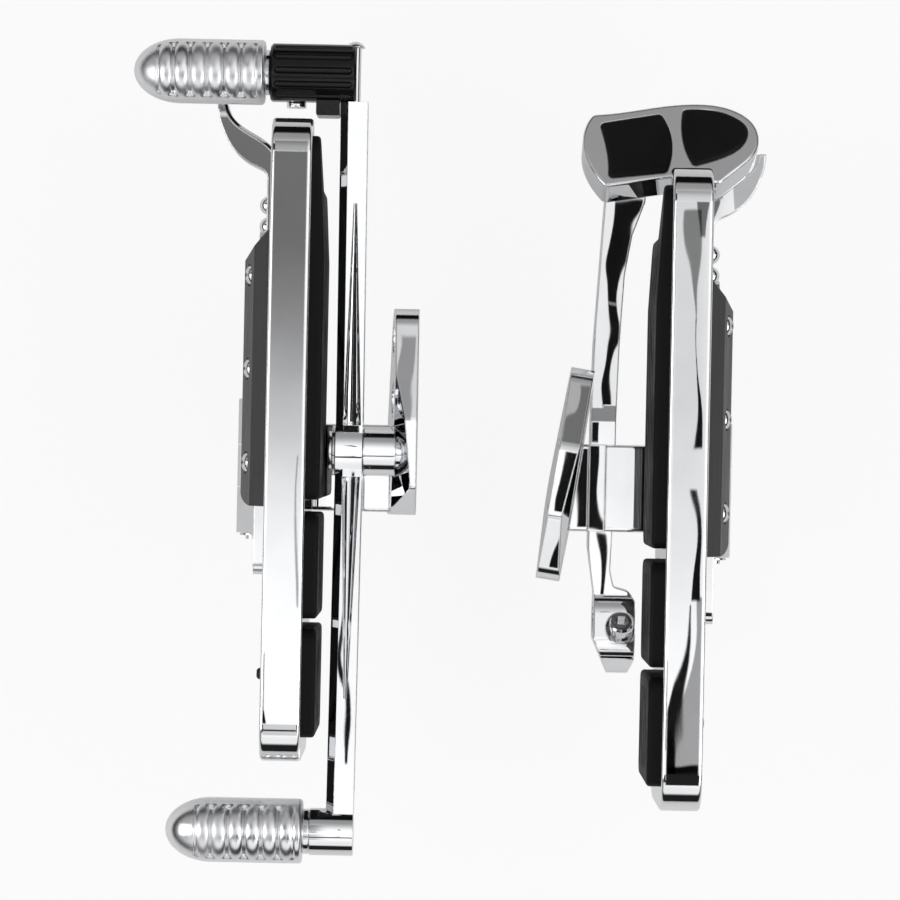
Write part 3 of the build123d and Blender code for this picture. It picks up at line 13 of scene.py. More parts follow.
import bmesh
import bpy
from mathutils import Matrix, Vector

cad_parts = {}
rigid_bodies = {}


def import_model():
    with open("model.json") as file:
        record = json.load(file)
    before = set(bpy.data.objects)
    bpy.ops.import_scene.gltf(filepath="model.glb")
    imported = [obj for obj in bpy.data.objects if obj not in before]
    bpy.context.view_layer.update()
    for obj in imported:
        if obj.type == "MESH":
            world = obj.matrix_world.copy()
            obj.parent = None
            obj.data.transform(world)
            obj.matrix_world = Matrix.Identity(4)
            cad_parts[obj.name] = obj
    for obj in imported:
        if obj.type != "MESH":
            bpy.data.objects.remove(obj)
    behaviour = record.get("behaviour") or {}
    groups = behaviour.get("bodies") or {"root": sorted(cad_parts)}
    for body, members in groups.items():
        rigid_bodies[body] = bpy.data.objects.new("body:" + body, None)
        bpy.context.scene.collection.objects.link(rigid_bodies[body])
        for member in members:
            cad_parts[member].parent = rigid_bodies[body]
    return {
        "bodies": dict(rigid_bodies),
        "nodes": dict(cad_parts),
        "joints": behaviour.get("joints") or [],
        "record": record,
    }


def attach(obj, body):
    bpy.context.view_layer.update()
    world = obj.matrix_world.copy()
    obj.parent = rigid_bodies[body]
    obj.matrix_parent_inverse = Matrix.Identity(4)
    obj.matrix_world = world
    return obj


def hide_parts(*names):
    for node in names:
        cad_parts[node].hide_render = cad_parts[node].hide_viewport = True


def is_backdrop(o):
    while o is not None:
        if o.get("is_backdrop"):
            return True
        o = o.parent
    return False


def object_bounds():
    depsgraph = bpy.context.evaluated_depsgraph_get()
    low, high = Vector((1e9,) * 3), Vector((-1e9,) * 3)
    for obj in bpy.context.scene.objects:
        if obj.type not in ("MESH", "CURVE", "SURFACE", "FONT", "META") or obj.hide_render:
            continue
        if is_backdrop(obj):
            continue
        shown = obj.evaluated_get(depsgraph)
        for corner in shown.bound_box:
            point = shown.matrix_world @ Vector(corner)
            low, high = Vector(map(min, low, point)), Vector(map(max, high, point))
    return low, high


logging.basicConfig(level=logging.INFO, format="%(message)s")
LOG = logging.getLogger("floorboards")

Colour = tuple[float, float, float, float]
Triple = tuple[float, float, float]

FULL_TURN = math.tau


def grey(level: float, blue: float = 0.0) -> Colour:
    """Return an opaque grey of a level, with a little more blue where wanted."""
    return (level, level, level + blue, 1.0)


WHITE = grey(1.0)


class Signal:
    """A number socket that works in Python expressions by adding Math nodes."""

    def __init__(self, graph: "Graph", socket: bpy.types.NodeSocket) -> None:
        """Keep the socket and the graph that holds it."""
        self.graph = graph
        self.socket = socket

    def combine(
        self, operation: str, first: "Signal | float", second: "Signal | float"
    ) -> "Signal":
        """Add one Math node for an operation on two operands."""
        operands = {0: first, 1: second}
        return self.graph.number("ShaderNodeMath", {"operation": operation}, operands)

    def __add__(self, other: "Signal | float") -> "Signal":
        """Return the sum."""
        return self.combine("ADD", self, other)

    __radd__ = __add__

    def __sub__(self, other: "Signal | float") -> "Signal":
        """Return the difference."""
        return self.combine("SUBTRACT", self, other)

    def __rsub__(self, other: float) -> "Signal":
        """Return the difference the other way round."""
        return self.combine("SUBTRACT", other, self)

    def __mul__(self, other: "Signal | float") -> "Signal":
        """Return the product."""
        return self.combine("MULTIPLY", self, other)

    __rmul__ = __mul__

    def absolute(self) -> "Signal":
        """Return the value without its sign."""
        return self.combine("ABSOLUTE", self, 0.0)

    def spread(
        self, low: float, high: float, to_low: float = 0.0, to_high: float = 1.0
    ) -> "Signal":
        """Map a range smoothly onto another and hold it at the ends.

        Args:
            low: The value that becomes to_low.
            high: The value that becomes to_high.
            to_low: The result at the low end.
            to_high: The result at the high end.

        Returns:
            The mapped value.
        """
        settings = {"interpolation_type": "SMOOTHSTEP"}
        inputs = {0: self, 1: low, 2: high, 3: to_low, 4: to_high}
        return self.graph.number("ShaderNodeMapRange", settings, inputs)


class Graph:
    """A node tree that is filled by short calls."""

    def __init__(self, tree: bpy.types.NodeTree) -> None:
        """Start from a tree, emptied."""
        self.tree = tree
        tree.nodes.clear()

    def node(
        self,
        kind: str,
        settings: dict[str, object] | None = None,
        inputs: dict[int | str, object] | None = None,
    ) -> bpy.types.Node:
        """Add any node.

        Args:
            kind: The node's type name.
            settings: Properties, which are set first.
            inputs: Values, sockets or signals by input name or number.

        Returns:
            The new node.
        """
        made = self.tree.nodes.new(kind)
        for name, value in (settings or {}).items():
            setattr(made, name, value)
        for key, value in (inputs or {}).items():
            if isinstance(value, Signal):
                value = value.socket
            if isinstance(value, bpy.types.NodeSocket):
                self.tree.links.new(value, made.inputs[key])
            else:
                made.inputs[key].default_value = value
        return made

    def number(
        self,
        kind: str,
        settings: dict[str, object] | None = None,
        inputs: dict[int | str, object] | None = None,
    ) -> Signal:
        """Add a node and return its first output as a signal."""
        return Signal(self, self.node(kind, settings, inputs).outputs[0])

    def mix_colour(self, factor: Signal, first: Colour, second: Colour) -> bpy.types.NodeSocket:
        """Blend two colours by the share of the second."""
        inputs = {0: factor, 6: first, 7: second}
        return self.node("ShaderNodeMix", {"data_type": "RGBA"}, inputs).outputs[2]

    def mix_shader(
        self, factor: Signal, first: bpy.types.Node, second: bpy.types.Node
    ) -> bpy.types.NodeSocket:
        """Blend two shaders by the share of the second."""
        inputs = {0: factor, 1: first.outputs[0], 2: second.outputs[0]}
        return self.node("ShaderNodeMixShader", None, inputs).outputs[0]

    def noise(
        self, scale: float, detail: float = 3.0, stretch: Triple = (1.0, 1.0, 1.0)
    ) -> Signal:
        """Add a noise over the piece, in its own coordinates.

        Args:
            scale: Features for each metre.
            detail: Octaves.
            stretch: A factor for each axis.

        Returns:
            The noise, around one half.
        """
        spot = self.node("ShaderNodeTexCoord").outputs["Object"]
        place = self.node("ShaderNodeVectorMath", {"operation": "MULTIPLY"}, {0: spot, 1: stretch})
        inputs = {"Vector": place.outputs[0], "Scale": scale, "Detail": detail}
        return self.number("ShaderNodeTexNoise", None, inputs)

    def split(self, vector: bpy.types.NodeSocket) -> tuple[Signal, Signal, Signal]:
        """Return the three parts of a vector."""
        made = self.node("ShaderNodeSeparateXYZ", None, {0: vector})
        return tuple(Signal(self, out) for out in made.outputs)

    def camera_ray(self) -> Signal:
        """Return one for the camera's own rays, else zero."""
        return Signal(self, self.node("ShaderNodeLightPath").outputs["Is Camera Ray"])


class Slot(Enum):
    """The record's material slots."""

    CHROME = "polished_chrome"
    RUBBER = "black_rubber"
    COAT = "black_coated_metal"
    STEEL = "black_steel"
    BRONZE = "bronze_bush"
    BLOCK = "grey_wear_plastic"
    PLATED = "plated_screws"


@dataclass(frozen=True)
class Finish:
    """A finish that covers a piece: shared steps and the values that differ."""

    name: str
    roughness: float
    metallic: float
    bevel: float = 0.0006
    gloss: float = 0.5
    bevel_samples: int = 6

    def make(self) -> bpy.types.Material:
        """Build the material.

        Returns:
            The finished material.
        """
        material = bpy.data.materials.new(self.name)
        material.use_nodes = True
        graph = Graph(material.node_tree)
        inputs = {"Metallic": self.metallic, "Specular IOR Level": self.gloss}
        shader = graph.node("ShaderNodeBsdfPrincipled", None, inputs)
        self.dress(graph, shader)
        graph.node("ShaderNodeOutputMaterial", None, {"Surface": shader.outputs[0]})
        return material

    def dress(self, graph: Graph, shader: bpy.types.Node) -> None:
        """Connect what varies over the surface."""
        raise NotImplementedError

    def link(
        self, graph: Graph, shader: bpy.types.Node, name: str, value: Signal | bpy.types.NodeSocket
    ) -> None:
        """Join a signal or socket to one of the shader's inputs."""
        socket = value.socket if isinstance(value, Signal) else value
        graph.tree.links.new(socket, shader.inputs[name])

    def relief(self, graph: Graph, shader: bpy.types.Node, height: Signal, depth: float) -> None:
        """Round the edges a little and add a relief.

        Args:
            graph: The material's graph.
            shader: The surface shader.
            height: The relief, from zero to one.
            depth: The relief's depth in metres.
        """
        settings = {"samples": self.bevel_samples}
        rounded = graph.node("ShaderNodeBevel", settings, {"Radius": self.bevel})
        normal = rounded.outputs[0]
        inputs = {"Distance": depth, "Strength": 1.0, "Height": height, "Normal": normal}
        self.link(graph, shader, "Normal", graph.node("ShaderNodeBump", None, inputs).outputs[0])


@dataclass(frozen=True)
class PolishedChrome(Finish):
    """Bright plating over a hand-polished casting, with a faint orange peel."""

    wave: float = 0.00005
    dull: Colour = (0.74, 0.745, 0.76, 1.0)
    bright: Colour = (0.88, 0.885, 0.895, 1.0)
    wave_stretch: Triple = (1.0, 0.42, 1.0)
    fine_share: float = 0.001
    haze_factor: float = 2.5

    def dress(self, graph: Graph, shader: bpy.types.Node) -> None:
        """Connect the plating's slow waves, haze and tone.

        Args:
            graph: The material's graph.
            shader: The surface shader.
        """
        haze = graph.noise(38.0, 4.0)
        hazy = haze.spread(0.3, 0.8, self.roughness, self.roughness * self.haze_factor)
        fine = graph.noise(900.0, 2.0)
        slow = graph.noise(34.0, 1.0, self.wave_stretch)
        height = slow * (1.0 - self.fine_share) + fine * self.fine_share
        self.link(graph, shader, "Base Color", graph.mix_colour(haze, self.dull, self.bright))
        self.link(graph, shader, "Roughness", hazy)
        self.relief(graph, shader, height, self.wave)


@dataclass(frozen=True)
class MouldedRubber(Finish):
    """Black rubber with a fine moulded grain and a dusty bloom."""

    clean: Colour = grey(0.003, 0.0002)
    dusty: Colour = grey(0.010, 0.0005)
    bloom_roughness: float = 0.18
    grain_depth: float = 0.00006

    def dress(self, graph: Graph, shader: bpy.types.Node) -> None:
        """Connect the grain, the bloom and the tone.

        Args:
            graph: The material's graph.
            shader: The surface shader.
        """
        grain = graph.noise(1500.0, 3.0)
        bloom = graph.noise(45.0, 4.0)
        dull = bloom.spread(0.3, 0.75, self.roughness, self.roughness + self.bloom_roughness)
        self.link(graph, shader, "Base Color", graph.mix_colour(bloom, self.clean, self.dusty))
        self.link(graph, shader, "Roughness", dull)
        self.relief(graph, shader, grain, self.grain_depth)


@dataclass(frozen=True)
class GlossCoat(Finish):
    """Gloss black coating with a slight orange peel."""

    deep: Colour = grey(0.003, 0.0005)
    pale: Colour = grey(0.008, 0.001)
    haze_factor: float = 1.8
    peel_depth: float = 0.00003

    def dress(self, graph: Graph, shader: bpy.types.Node) -> None:
        """Connect the peel, the haze and the tone.

        Args:
            graph: The material's graph.
            shader: The surface shader.
        """
        peel = graph.noise(420.0, 2.0)
        haze = graph.noise(70.0, 3.0)
        hazy = haze.spread(0.3, 0.8, self.roughness, self.roughness * self.haze_factor)
        self.link(graph, shader, "Base Color", graph.mix_colour(haze, self.deep, self.pale))
        self.link(graph, shader, "Roughness", hazy)
        self.relief(graph, shader, peel, self.peel_depth)


@dataclass(frozen=True)
class WearPlastic(Finish):
    """Dark grey block with fine lines from the saw and planer along its length."""

    dark: Colour = grey(0.012, 0.001)
    worn: Colour = grey(0.048, 0.002)
    line_stretch: Triple = (1.0, 0.03, 1.0)
    line_share: float = 0.6
    line_roughness: float = 0.16
    line_depth: float = 0.00008

    def dress(self, graph: Graph, shader: bpy.types.Node) -> None:
        """Connect the lengthwise lines and the cloudy tone.

        Args:
            graph: The material's graph.
            shader: The surface shader.
        """
        lines = graph.noise(900.0, 3.0, self.line_stretch)
        cloud = graph.noise(60.0, 4.0)
        both = lines * self.line_share + cloud * (1.0 - self.line_share)
        dull = lines.spread(0.3, 0.7, self.roughness, self.roughness + self.line_roughness)
        self.link(graph, shader, "Base Color", graph.mix_colour(both, self.dark, self.worn))
        self.link(graph, shader, "Roughness", dull)
        self.relief(graph, shader, lines, self.line_depth)


@dataclass(frozen=True)
class TurnedMetal(Finish):
    """Turned or plated metal with fine lines and a mottled tone."""

    dark: Colour = grey(0.66, 0.02)
    light: Colour = grey(0.78, 0.02)
    line_stretch: Triple = (1.0, 0.15, 1.0)
    mottle_roughness: float = 0.08
    line_depth: float = 0.000008

    def dress(self, graph: Graph, shader: bpy.types.Node) -> None:
        """Connect the mottle and the fine turning lines.

        Args:
            graph: The material's graph.
            shader: The surface shader.
        """
        mottle = graph.noise(260.0, 5.0)
        lines = graph.noise(2400.0, 1.0, self.line_stretch)
        dull = mottle.spread(0.3, 0.7, self.roughness, self.roughness + self.mottle_roughness)
        self.link(graph, shader, "Base Color", graph.mix_colour(mottle, self.dark, self.light))
        self.link(graph, shader, "Roughness", dull)
        self.relief(graph, shader, lines, self.line_depth)


@dataclass
class FinishShelf:
    """All finishes, made once and handed out by slot or by node."""

    by_slot: dict[Slot, Finish] = field(
        default_factory=lambda: {
            Slot.CHROME: PolishedChrome("polished_chrome_plate", 0.004, 1.0, 0.0011),
            Slot.RUBBER: MouldedRubber("black_moulded_rubber", 0.48, 0.0, 0.0012, 0.13),
            Slot.COAT: GlossCoat("gloss_black_coat", 0.12, 0.0, 0.0006, 0.30),
            Slot.STEEL: TurnedMetal(
                "blackened_steel", 0.32, 0.6, 0.0003,
                dark=grey(0.010, 0.001), light=grey(0.035, 0.003),
            ),
            Slot.BRONZE: TurnedMetal(
                "sintered_bronze", 0.34, 1.0, 0.0003,
                dark=(0.30, 0.19, 0.08, 1.0), light=(0.52, 0.36, 0.17, 1.0),
            ),
            Slot.BLOCK: WearPlastic("dark_wear_block", 0.36, 0.0, 0.0010),
            Slot.PLATED: TurnedMetal("plated_fastener", 0.10, 1.0, 0.0004),
        }
    )
    by_node: dict[str, Finish] = field(
        default_factory=lambda: {
            "shift_lever": PolishedChrome("scooped_chrome_plate", 0.004, 1.0, 0.0003),
        }
    )

    def dress_frame(self, frame: dict[str, object]) -> None:
        """Give every node of the frame its finish.
        """
        slots = {slot: finish.make() for slot, finish in self.by_slot.items()}
        nodes = {node: finish.make() for node, finish in self.by_node.items()}
        for part in frame["record"]["subparts"]:
            node = part["node"]
            material = nodes.get(node) or slots[Slot(part["material_slot"])]
            for holder in frame["nodes"][node].material_slots:
                holder.material = material
            LOG.info("dressed %s in %s", node, material.name)


@dataclass(frozen=True)
class Surface:
    """A mesh in the making: rings of points about one axis, joined into one closed skin."""

    name: str
    rings: list[list[Vector]]
    tips: tuple[Vector, Vector]
    crease_degrees: float = 34.0

    def build(self) -> bpy.types.Object:
        """Join the rings and both tips.

        Returns:
            The new piece.
        """
        count = len(self.rings[0])
        points = [point for ring in self.rings for point in ring] + list(self.tips)
        first, last = len(points) - 2, len(points) - 1
        end = (len(self.rings) - 1) * count
        faces = []
        for low in range(0, end, count):
            high = low + count
            for n in range(count):
                after = (n + 1) % count
                faces.append((low + n, low + after, high + after, high + n))
        for n in range(count):
            after = (n + 1) % count
            faces.append((first, after, n))
            faces.append((last, end + n, end + after))
        mesh = bpy.data.meshes.new(self.name)
        mesh.from_pydata(points, [], faces)
        self.turn_outward(mesh)
        mesh.shade_smooth()
        mesh.set_sharp_from_angle(angle=math.radians(self.crease_degrees))
        piece = bpy.data.objects.new(self.name, mesh)
        bpy.context.scene.collection.objects.link(piece)
        return piece

    @staticmethod
    def turn_outward(mesh: bpy.types.Mesh) -> None:
        """Turn every face to the outside.

        Args:
            mesh: The closed mesh.
        """
        skin = bmesh.new()
        skin.from_mesh(mesh)
        bmesh.ops.recalc_face_normals(skin, faces=skin.faces)
        skin.to_mesh(mesh)
        skin.free()


@dataclass
class RibbedPeg:
    """A bullet-nosed peg with six full round ribs above and six below."""

    node: str
    name: str
    inner_x: float
    length: float
    centre_y: float
    centre_z: float
    body: str = "shift_lever_body"
    radius: float = 0.0165
    nose: float = 0.024
    edge: float = 0.001
    spigot_radius: float = 0.004
    spigot: float = 0.010
    rib_count: int = 6
    rib_pitch: float = 0.0086
    rib_start: float = 0.0032
    rib_depth: float = 0.0030
    rib_end_slope: float = 6.0
    reach_degrees: float = 60.0
    fade_degrees: float = 5.0
    rows: int = 210
    turns: int = 168
    nose_crowding: float = 1.25

    def skin_radius(self, along: float) -> float:
        """Size the smooth peg.

        Args:
            along: The distance from the inner end.

        Returns:
            The smooth peg's radius there.
        """
        if along < self.edge:
            return self.radius - self.edge + along
        past = max(0.0, along - (self.length - self.nose)) / self.nose
        return self.radius * math.sqrt(max(0.0, 1.0 - past * past))

    def sink(self, along: float, angle: float) -> float:
        """Find how far the surface lies under the smooth peg.

        Args:
            along: The distance from the inner end.
            angle: The angle from the top, in radians.

        Returns:
            The depth, which is zero outside the ribbed fields.
        """
        place = (along - self.rib_start) / self.rib_pitch
        if not 0.0 <= place <= self.rib_count:
            return 0.0
        across = (place % 1.0) * 2.0 - 1.0
        lean = math.degrees(math.acos(abs(math.cos(angle))))
        bow = self.fade_degrees * across * across
        fade = min(1.0, max(0.0, (self.reach_degrees - bow - lean) / self.fade_degrees))
        outer = min(
            1.0, place * self.rib_end_slope, (self.rib_count - place) * self.rib_end_slope
        )
        hill = math.sqrt(max(0.0, 1.0 - across * across))
        return self.rib_depth * (1.0 - hill) * fade * fade * (3.0 - 2.0 * fade) * outer

    def ring(self, along: float, radius: float, ribbed: bool) -> list[Vector]:
        """Make one ring of points.

        Args:
            along: The distance from the inner end.
            radius: The ring's radius before any rib is cut.
            ribbed: Whether the ribs count here.

        Returns:
            The ring's points.
        """
        points = []
        for n in range(self.turns):
            angle = FULL_TURN * n / self.turns
            reach = radius - (self.sink(along, angle) if ribbed else 0.0)
            side, rise = reach * math.sin(angle), reach * math.cos(angle)
            points.append(self.spot(along, side, rise))
        return points

    def spot(self, along: float, side: float = 0.0, rise: float = 0.0) -> Vector:
        """Return a point by its distance from the inner end, in front of and above the axis."""
        return Vector((self.inner_x - along, self.centre_y + side, self.centre_z + rise))

    def build(self) -> None:
        """Make the peg, let it take its node's place and ride its lever."""
        rings = [self.ring(start, self.spigot_radius, False) for start in (-self.spigot, 0.0)]
        for row in range(self.rows):
            along = self.length * (1.0 - (1.0 - row / self.rows) ** self.nose_crowding)
            rings.append(self.ring(along, self.skin_radius(along), True))
        tips = (self.spot(-self.spigot), self.spot(self.length))
        piece = Surface(self.name, rings, tips).build()
        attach(piece, self.body)
        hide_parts(self.node)
        self.dress(piece)
        LOG.info("built %s", self.name)

    def dress(self, piece: bpy.types.Object) -> None:
        """Plate the peg in satin chrome."""
        finish = PolishedChrome(f"{self.name}_plate", 0.19, 1.0, 0.0002, wave=0.00002)
        piece.data.materials.append(finish.make())


@dataclass
class DomeHeads:
    """The domed socket heads that sit in one wear block's recesses."""

    name: str
    body: str
    outward: float
    lean_degrees: float = 14.04
    radius: float = 0.0050
    rise: float = 0.0030
    seat: float = 0.0006
    dome_steps: tuple[float, ...] = (0.2, 0.4, 0.6, 0.8, 1.0)
    socket: float = 0.0017
    socket_lip: float = 1.18
    socket_depth: float = 0.0012
    socket_sides: int = 6
    turns: int = 48
    rim_depth: float = 0.0001

    def axis(self) -> Vector:
        """Return the screws' outward direction."""
        tilt = math.radians(self.lean_degrees)
        return Vector((self.outward * math.cos(tilt), 0.0, math.sin(tilt)))

    def places(self, screws: bpy.types.Object) -> Iterable[Vector]:
        """Find the middle of each screw's outer face.

        Args:
            screws: The node that holds the screws.

        Yields:
            One point for each screw, from the rear to the front.
        """
        outer = self.axis()
        points = [screws.matrix_world @ corner.co for corner in screws.data.vertices]
        highest = max(point.dot(outer) for point in points)
        rim = [point for point in points if highest - point.dot(outer) < self.rim_depth]
        groups: list[list[Vector]] = []
        for point in sorted(rim, key=lambda spot: spot.y):
            if groups and point.y - groups[-1][-1].y < self.radius:
                groups[-1].append(point)
            else:
                groups.append([point])
        for group in groups:
            yield sum(group, Vector()) / len(group)

    def ring(self, middle: Vector, radius: float, height: float, sided: bool) -> list[Vector]:
        """Make one ring of points about a screw's axis.

        Args:
            middle: The middle of the head's seat.
            radius: The ring's radius, or half the width across its flats.
            height: Its height over the seat.
            sided: Whether it has the socket's flats.

        Returns:
            The ring's points.
        """
        outer = self.axis()
        flat = Vector((0.0, 1.0, 0.0))
        side = FULL_TURN / self.socket_sides
        points = []
        for n in range(self.turns):
            angle = FULL_TURN * n / self.turns
            off_flat = (angle + side / 2.0) % side - side / 2.0
            reach = radius / math.cos(off_flat) if sided else radius
            across = flat * (reach * math.cos(angle))
            points.append(
                middle + across + outer.cross(flat) * (reach * math.sin(angle)) + outer * height
            )
        return points

    def head(self, middle: Vector, index: int) -> bpy.types.Object:
        """Make one head, a dome with a six-sided socket.

        Args:
            middle: The middle of its seat.
            index: Its number, for its name.

        Returns:
            The new head.
        """
        floor = self.rise - self.socket_depth
        rows = [(self.radius, -self.seat, False), (self.radius, 0.0, False)]
        rows += [
            (self.radius * math.cos(turn), self.rise * math.sin(turn), False)
            for turn in self.dome_steps
        ]
        rows += [
            (self.socket * self.socket_lip, self.rise, False),
            (self.socket, self.rise, True),
            (self.socket, floor, True),
        ]
        rings = [self.ring(middle, *row) for row in rows]
        tips = (middle - self.axis() * self.seat, middle + self.axis() * floor)
        return Surface(f"{self.name}_{index}", rings, tips).build()

    def build(self, screws: bpy.types.Object) -> None:
        """Make every head on its screw and ride it on the board.

        Args:
            screws: The node that holds the screws.
        """
        plate = TurnedMetal(
            f"{self.name}_plate", 0.10, 1.0, 0.0002, dark=grey(0.62, 0.02), light=grey(0.82, 0.02)
        ).make()
        for index, middle in enumerate(self.places(screws)):
            piece = self.head(middle, index)
            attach(piece, self.body)
            piece.data.materials.append(plate)
            LOG.info("built %s", piece.name)


@dataclass(frozen=True)
class Card:
    """One dark card in the sky: a strip between two ends, in direction units."""

    rear: float
    front: float
    rear_side: float
    front_side: float
    rear_half: float
    front_half: float
    shade: float
    soft: float = 0.00022
    end_soft: float = 0.0006

    def shadow(self, side: Signal, ahead: Signal) -> Signal:
        """Shade the sky behind the card.

        Args:
            side: The direction's sideways part.
            ahead: The direction's forward part.

        Returns:
            The share of light that the card takes away.
        """
        rear, front, soft = self.rear, self.front, self.end_soft
        middle = ahead.spread(rear, front, self.rear_side, self.front_side)
        half = ahead.spread(rear, front, self.rear_half, self.front_half)
        inside = ((side - middle).absolute() - half).spread(-self.soft, self.soft, self.shade, 0.0)
        past_rear = ahead.spread(rear - soft, rear + soft, 0.0, 1.0)
        before_front = ahead.spread(front - soft, front + soft, 1.0, 0.0)
        return inside * past_rear * before_front


BLACK = 0.992
SCOOP_BLACK = 0.985

CARDS = (
    # The left rim's dark line.
    Card(-0.0465, -0.0024, -0.0437, -0.0444, 0.0004, 0.0002, 0.62),
    # The right rim: its leaf, the branching line below it and the wedge at its rear end.
    Card(0.0768, 0.0844, 0.0696, 0.0694, 0.0071, 0.0071, 0.42),
    Card(0.0753, 0.0765, 0.0717, 0.0714, 0.0050, 0.0044, BLACK),
    Card(0.0639, 0.0751, 0.0728, 0.0731, 0.0012, 0.0026, 0.8),
    Card(0.0392, 0.0715, 0.0718, 0.0697, 0.0002, 0.0026, 0.7),
    Card(0.0262, 0.0403, 0.0721, 0.0718, 0.0002, 0.0002, 0.85),
    Card(0.0015, 0.0280, 0.0720, 0.0721, 0.0018, 0.0002, BLACK),
    Card(-0.0432, -0.0097, 0.0721, 0.0726, 0.0021, 0.0006, BLACK),
    Card(-0.0932, -0.0420, 0.0720, 0.0741, 0.0056, 0.0015, 0.66),
    Card(-0.0986, -0.0444, 0.0659, 0.0698, 0.0018, 0.0003, BLACK),
    Card(-0.1050, -0.0909, 0.0710, 0.0710, 0.0076, 0.0076, BLACK),
    # The right bracket's level faces and the right horn.
    Card(-0.0230, 0.0056, 0.0414, 0.0411, 0.0032, 0.0032, BLACK),
    Card(-0.0187, 0.0019, 0.0328, 0.0364, 0.0024, 0.0015, BLACK),
    Card(0.0706, 0.0900, 0.0853, 0.0849, 0.0041, 0.0041, 0.48),
    # The brake lever's arm.
    Card(-0.7840, -0.7645, 0.0474, 0.0511, 0.0016, 0.0044, BLACK),
    Card(-0.8085, -0.7840, 0.0464, 0.0474, 0.0009, 0.0016, BLACK),
    # The right and left brackets' sloped panels.
    Card(-0.8195, -0.7985, -0.0859, -0.0821, 0.0018, 0.0012, BLACK),
    Card(0.6490, 0.6640, 0.1314, 0.1347, 0.0024, 0.0026, 0.62),
    Card(0.2200, 0.5000, -0.0128, -0.0138, 0.0018, 0.0028, 0.55),
    # The shift lever's lower arm and its heel joint.
    Card(0.2346, 0.3176, -0.0286, -0.0295, 0.0006, 0.0005, BLACK),
    Card(-0.4010, -0.3953, -0.0297, -0.0297, 0.0060, 0.0060, BLACK),
    # The brake lever's split eye and rear end.
    Card(0.4550, 0.4750, 0.0446, 0.0446, 0.0012, 0.0012, BLACK),
    Card(-0.8350, -0.8220, 0.0520, 0.0500, 0.0040, 0.0030, BLACK),
    Card(-0.0855, -0.0661, 0.0449, 0.0458, 0.0009, 0.0013, BLACK),
    # The scoops in the shift lever's arms.
    Card(-0.4500, -0.1800, -0.4200, -0.4200, 0.3400, 0.3400, SCOOP_BLACK),
    Card(0.1800, 0.4500, -0.4200, -0.4200, 0.3400, 0.3400, SCOOP_BLACK),
    Card(-0.4500, -0.1800, 0.5600, 0.5600, 0.4200, 0.4200, SCOOP_BLACK),
    Card(0.1800, 0.4500, 0.8500, 0.8500, 0.1500, 0.1500, SCOOP_BLACK),
    Card(-0.4200, -0.3400, -0.0300, -0.0300, 0.0600, 0.0600, SCOOP_BLACK),
    Card(-0.3280, -0.2960, -0.0297, -0.0291, 0.0018, 0.0002, BLACK),
    # The left rim's rear wedge, and the light shade at the right rim's front.
    Card(-0.0862, -0.0600, -0.1750, -0.1780, 0.1250, 0.1220, BLACK),
    Card(-0.0500, 0.1100, 0.0900, 0.0900, 0.0300, 0.0300, 0.16, 0.004, 0.03),
    Card(-0.0200, 0.1400, 0.0600, 0.0600, 0.0160, 0.0160, 0.22, 0.006, 0.04),
    # The rims' rounded ends: left front, right front, right rear, left rear.
    Card(0.1300, 0.6000, -0.1200, -0.1200, 0.0830, 0.0830, 0.60, 0.004, 0.010),
    Card(0.1300, 0.6000, 0.1300, 0.1300, 0.0760, 0.0760, 0.35, 0.004, 0.010),
    Card(-0.6000, -0.0965, 0.1300, 0.1300, 0.0760, 0.0760, 0.985, 0.004, 0.001),
    Card(-0.6000, -0.1300, -0.1200, -0.1200, 0.0830, 0.0830, 0.40, 0.004, 0.010),
)


@dataclass(frozen=True)
class Sky:
    """The white sky with the soft and dark zones that the chrome mirrors."""

    zenith: float = 1.25
    horizon: float = 0.02
    flank: float = 0.42
    front_shade: float = 0.72
    rear_shade: float = 0.20
    left_shade: float = 0.52
    rim_shade: float = 0.85

    def build(self) -> None:
        """Fill the world, with plain white for the camera's own rays."""
        world = bpy.data.worlds.new("studio_sky")
        bpy.context.scene.world = world
        world.use_nodes = True
        graph = Graph(world.node_tree)
        direction = graph.node("ShaderNodeTexCoord").outputs["Generated"]
        level = self.level(*graph.split(direction))
        inputs = {"Color": WHITE, "Strength": level}
        lit = graph.node("ShaderNodeBackground", None, inputs)
        plain = graph.node("ShaderNodeBackground", None, {"Color": WHITE, "Strength": 1.0})
        mixed = graph.mix_shader(graph.camera_ray(), lit, plain)
        graph.node("ShaderNodeOutputWorld", None, {"Surface": mixed})

    def level(self, side: Signal, ahead: Signal, up: Signal) -> Signal:
        """Find the sky's brightness in a direction.

        Args:
            side: The direction's sideways part.
            ahead: The direction's forward part.
            up: The direction's upward part.

        Returns:
            The brightness.
        """
        level = up.spread(0.34, 0.48, self.horizon, self.zenith)
        level = level * (1 - ahead.spread(0.15, 0.82, 0.0, self.front_shade))
        level = level * (1 - ahead.spread(-0.80, -0.45, self.rear_shade, 0.0))
        level = level * (1 - side.spread(-0.80, -0.35, self.left_shade, 0.0))
        level = level * (1 - self.left_rim(side, ahead))
        flank = side.spread(-0.62, -0.42, 1.0, 0.0) * up.spread(0.08, 0.40, 0.0, 1.0)
        level = level + flank * up.spread(0.34, 0.50, self.flank, 0.0)
        for card in CARDS:
            level = level * (1 - card.shadow(side, ahead))
        return level

    def left_rim(self, side: Signal, ahead: Signal) -> Signal:
        """Shade what the left rim mirrors: deep in front, fading out to the rear.

        Args:
            side: The direction's sideways part.
            ahead: The direction's forward part.

        Returns:
            The share of light taken away.
        """
        beside = side.spread(-0.040, -0.037, 1.0, 0.0) * side.spread(-0.30, -0.20, 0.0, 1.0)
        below_peg = ahead.spread(0.0985, 0.1005, 1.0, 0.0)
        return beside * below_peg * ahead.spread(-0.055, 0.065, 0.0, self.rim_shade)


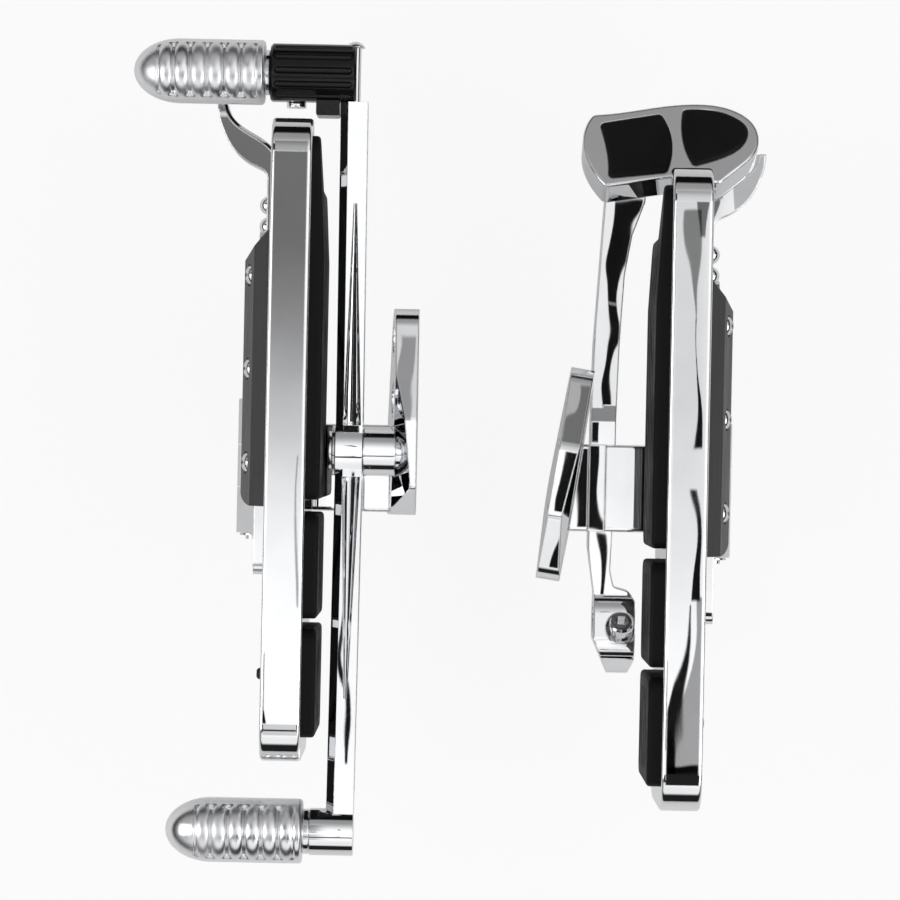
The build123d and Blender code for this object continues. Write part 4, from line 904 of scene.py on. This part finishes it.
@dataclass
class Studio:
    """The pale floor, the soft light and the camera straight above."""

    aim: Triple = (0.0175, -0.0415, 0.0)
    rim_height: float = 0.084
    camera_rise: float = 1.7
    pixels_per_metre: float = 2000.0
    image_width: float = 900.0
    sensor: float = 36.0
    clip_end: float = 20.0
    roll_degrees: float = 1.2
    floor_half: float = 3.0
    floor_drop: float = 0.05
    floor_grey: float = 0.86
    floor_glow: float = 0.88
    lamp_size: float = 0.8
    lamp_watts: float = 5.0
    lamps: dict[str, Triple] = field(
        default_factory=lambda: {
            "left_softbox": (-1.1, -0.2, 0.9),
            "right_softbox": (1.1, -0.5, 1.0),
        }
    )

    def hold(self, name: str, data: bpy.types.ID) -> bpy.types.Object:
        """Put data into the scene as an object.

        Args:
            name: The object's name.
            data: Its mesh, camera or light.

        Returns:
            The new object.
        """
        holder = bpy.data.objects.new(name, data)
        bpy.context.scene.collection.objects.link(holder)
        return holder

    def camera(self) -> None:
        """Place the camera above the rims, turned a little as in the photograph."""
        data = bpy.data.cameras.new("overhead_camera")
        data.sensor_width = self.sensor
        data.lens = self.sensor * self.camera_rise * self.pixels_per_metre / self.image_width
        data.clip_end = self.clip_end
        holder = self.hold("overhead_camera", data)
        holder.location = (self.aim[0], self.aim[1], self.rim_height + self.camera_rise)
        holder.rotation_euler = (0.0, 0.0, math.radians(self.roll_degrees))
        bpy.context.scene.camera = holder

    def floor(self, lowest: float) -> None:
        """Lay a white floor under the lowest point.

        Args:
            lowest: The object's lowest height.
        """
        half, height = self.floor_half, lowest - self.floor_drop
        turns = ((-half, -half), (half, -half), (half, half), (-half, half))
        corners = [(x, y, height) for x, y in turns]
        mesh = bpy.data.meshes.new("studio_floor")
        mesh.from_pydata(corners, [], [(0, 1, 2, 3)])
        mesh.materials.append(self.floor_material())
        self.hold("studio_floor", mesh)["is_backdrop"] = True

    def floor_material(self) -> bpy.types.Material:
        """Make the floor's white, which the camera sees mostly as plain light.

        Returns:
            The material.
        """
        material = bpy.data.materials.new("studio_floor_white")
        material.use_nodes = True
        graph = Graph(material.node_tree)
        plain = graph.node("ShaderNodeBsdfDiffuse", None, {"Color": grey(self.floor_grey)})
        glow = graph.node("ShaderNodeEmission", None, {"Color": WHITE, "Strength": 1.0})
        mixed = graph.mix_shader(graph.camera_ray() * self.floor_glow, plain, glow)
        graph.node("ShaderNodeOutputMaterial", None, {"Surface": mixed})
        return material

    def lamp(self, name: str, place: Triple) -> None:
        """Hang one square softbox that faces the object.

        Args:
            name: The lamp's name.
            place: Where it hangs.
        """
        data = bpy.data.lights.new(name, "AREA")
        data.size = self.lamp_size
        data.energy = self.lamp_watts
        holder = self.hold(name, data)
        holder.location = place
        toward = Vector(self.aim) - Vector(place)
        holder.rotation_euler = toward.to_track_quat("-Z", "Y").to_euler()

    def build(self, lowest: float) -> None:
        """Set up the whole studio round the object.

        Args:
            lowest: The object's lowest height.
        """
        self.camera()
        self.floor(lowest)
        Sky().build()
        for name, place in self.lamps.items():
            self.lamp(name, place)
        bpy.context.scene.view_settings.view_transform = "Standard"
        LOG.info("built the studio")


def main() -> None:
    """Dress the frame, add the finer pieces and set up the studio."""
    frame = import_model()
    solid_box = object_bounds()
    FinishShelf().dress_frame(frame)
    RibbedPeg("toe_peg", "toe_peg_shell", -0.081, 0.067, 0.1495, 0.045).build()
    RibbedPeg("heel_peg", "heel_peg_shell", -0.054, 0.070, -0.238, 0.045).build()
    for hand, outward in (("left", -1.0), ("right", 1.0)):
        screws = frame["nodes"][f"{hand}_wear_block_screws"]
        DomeHeads(f"{hand}_block_heads", f"{hand}_board", outward).build(screws)
    Studio().build(solid_box[0][2])


if __name__ == "__main__":
    main()
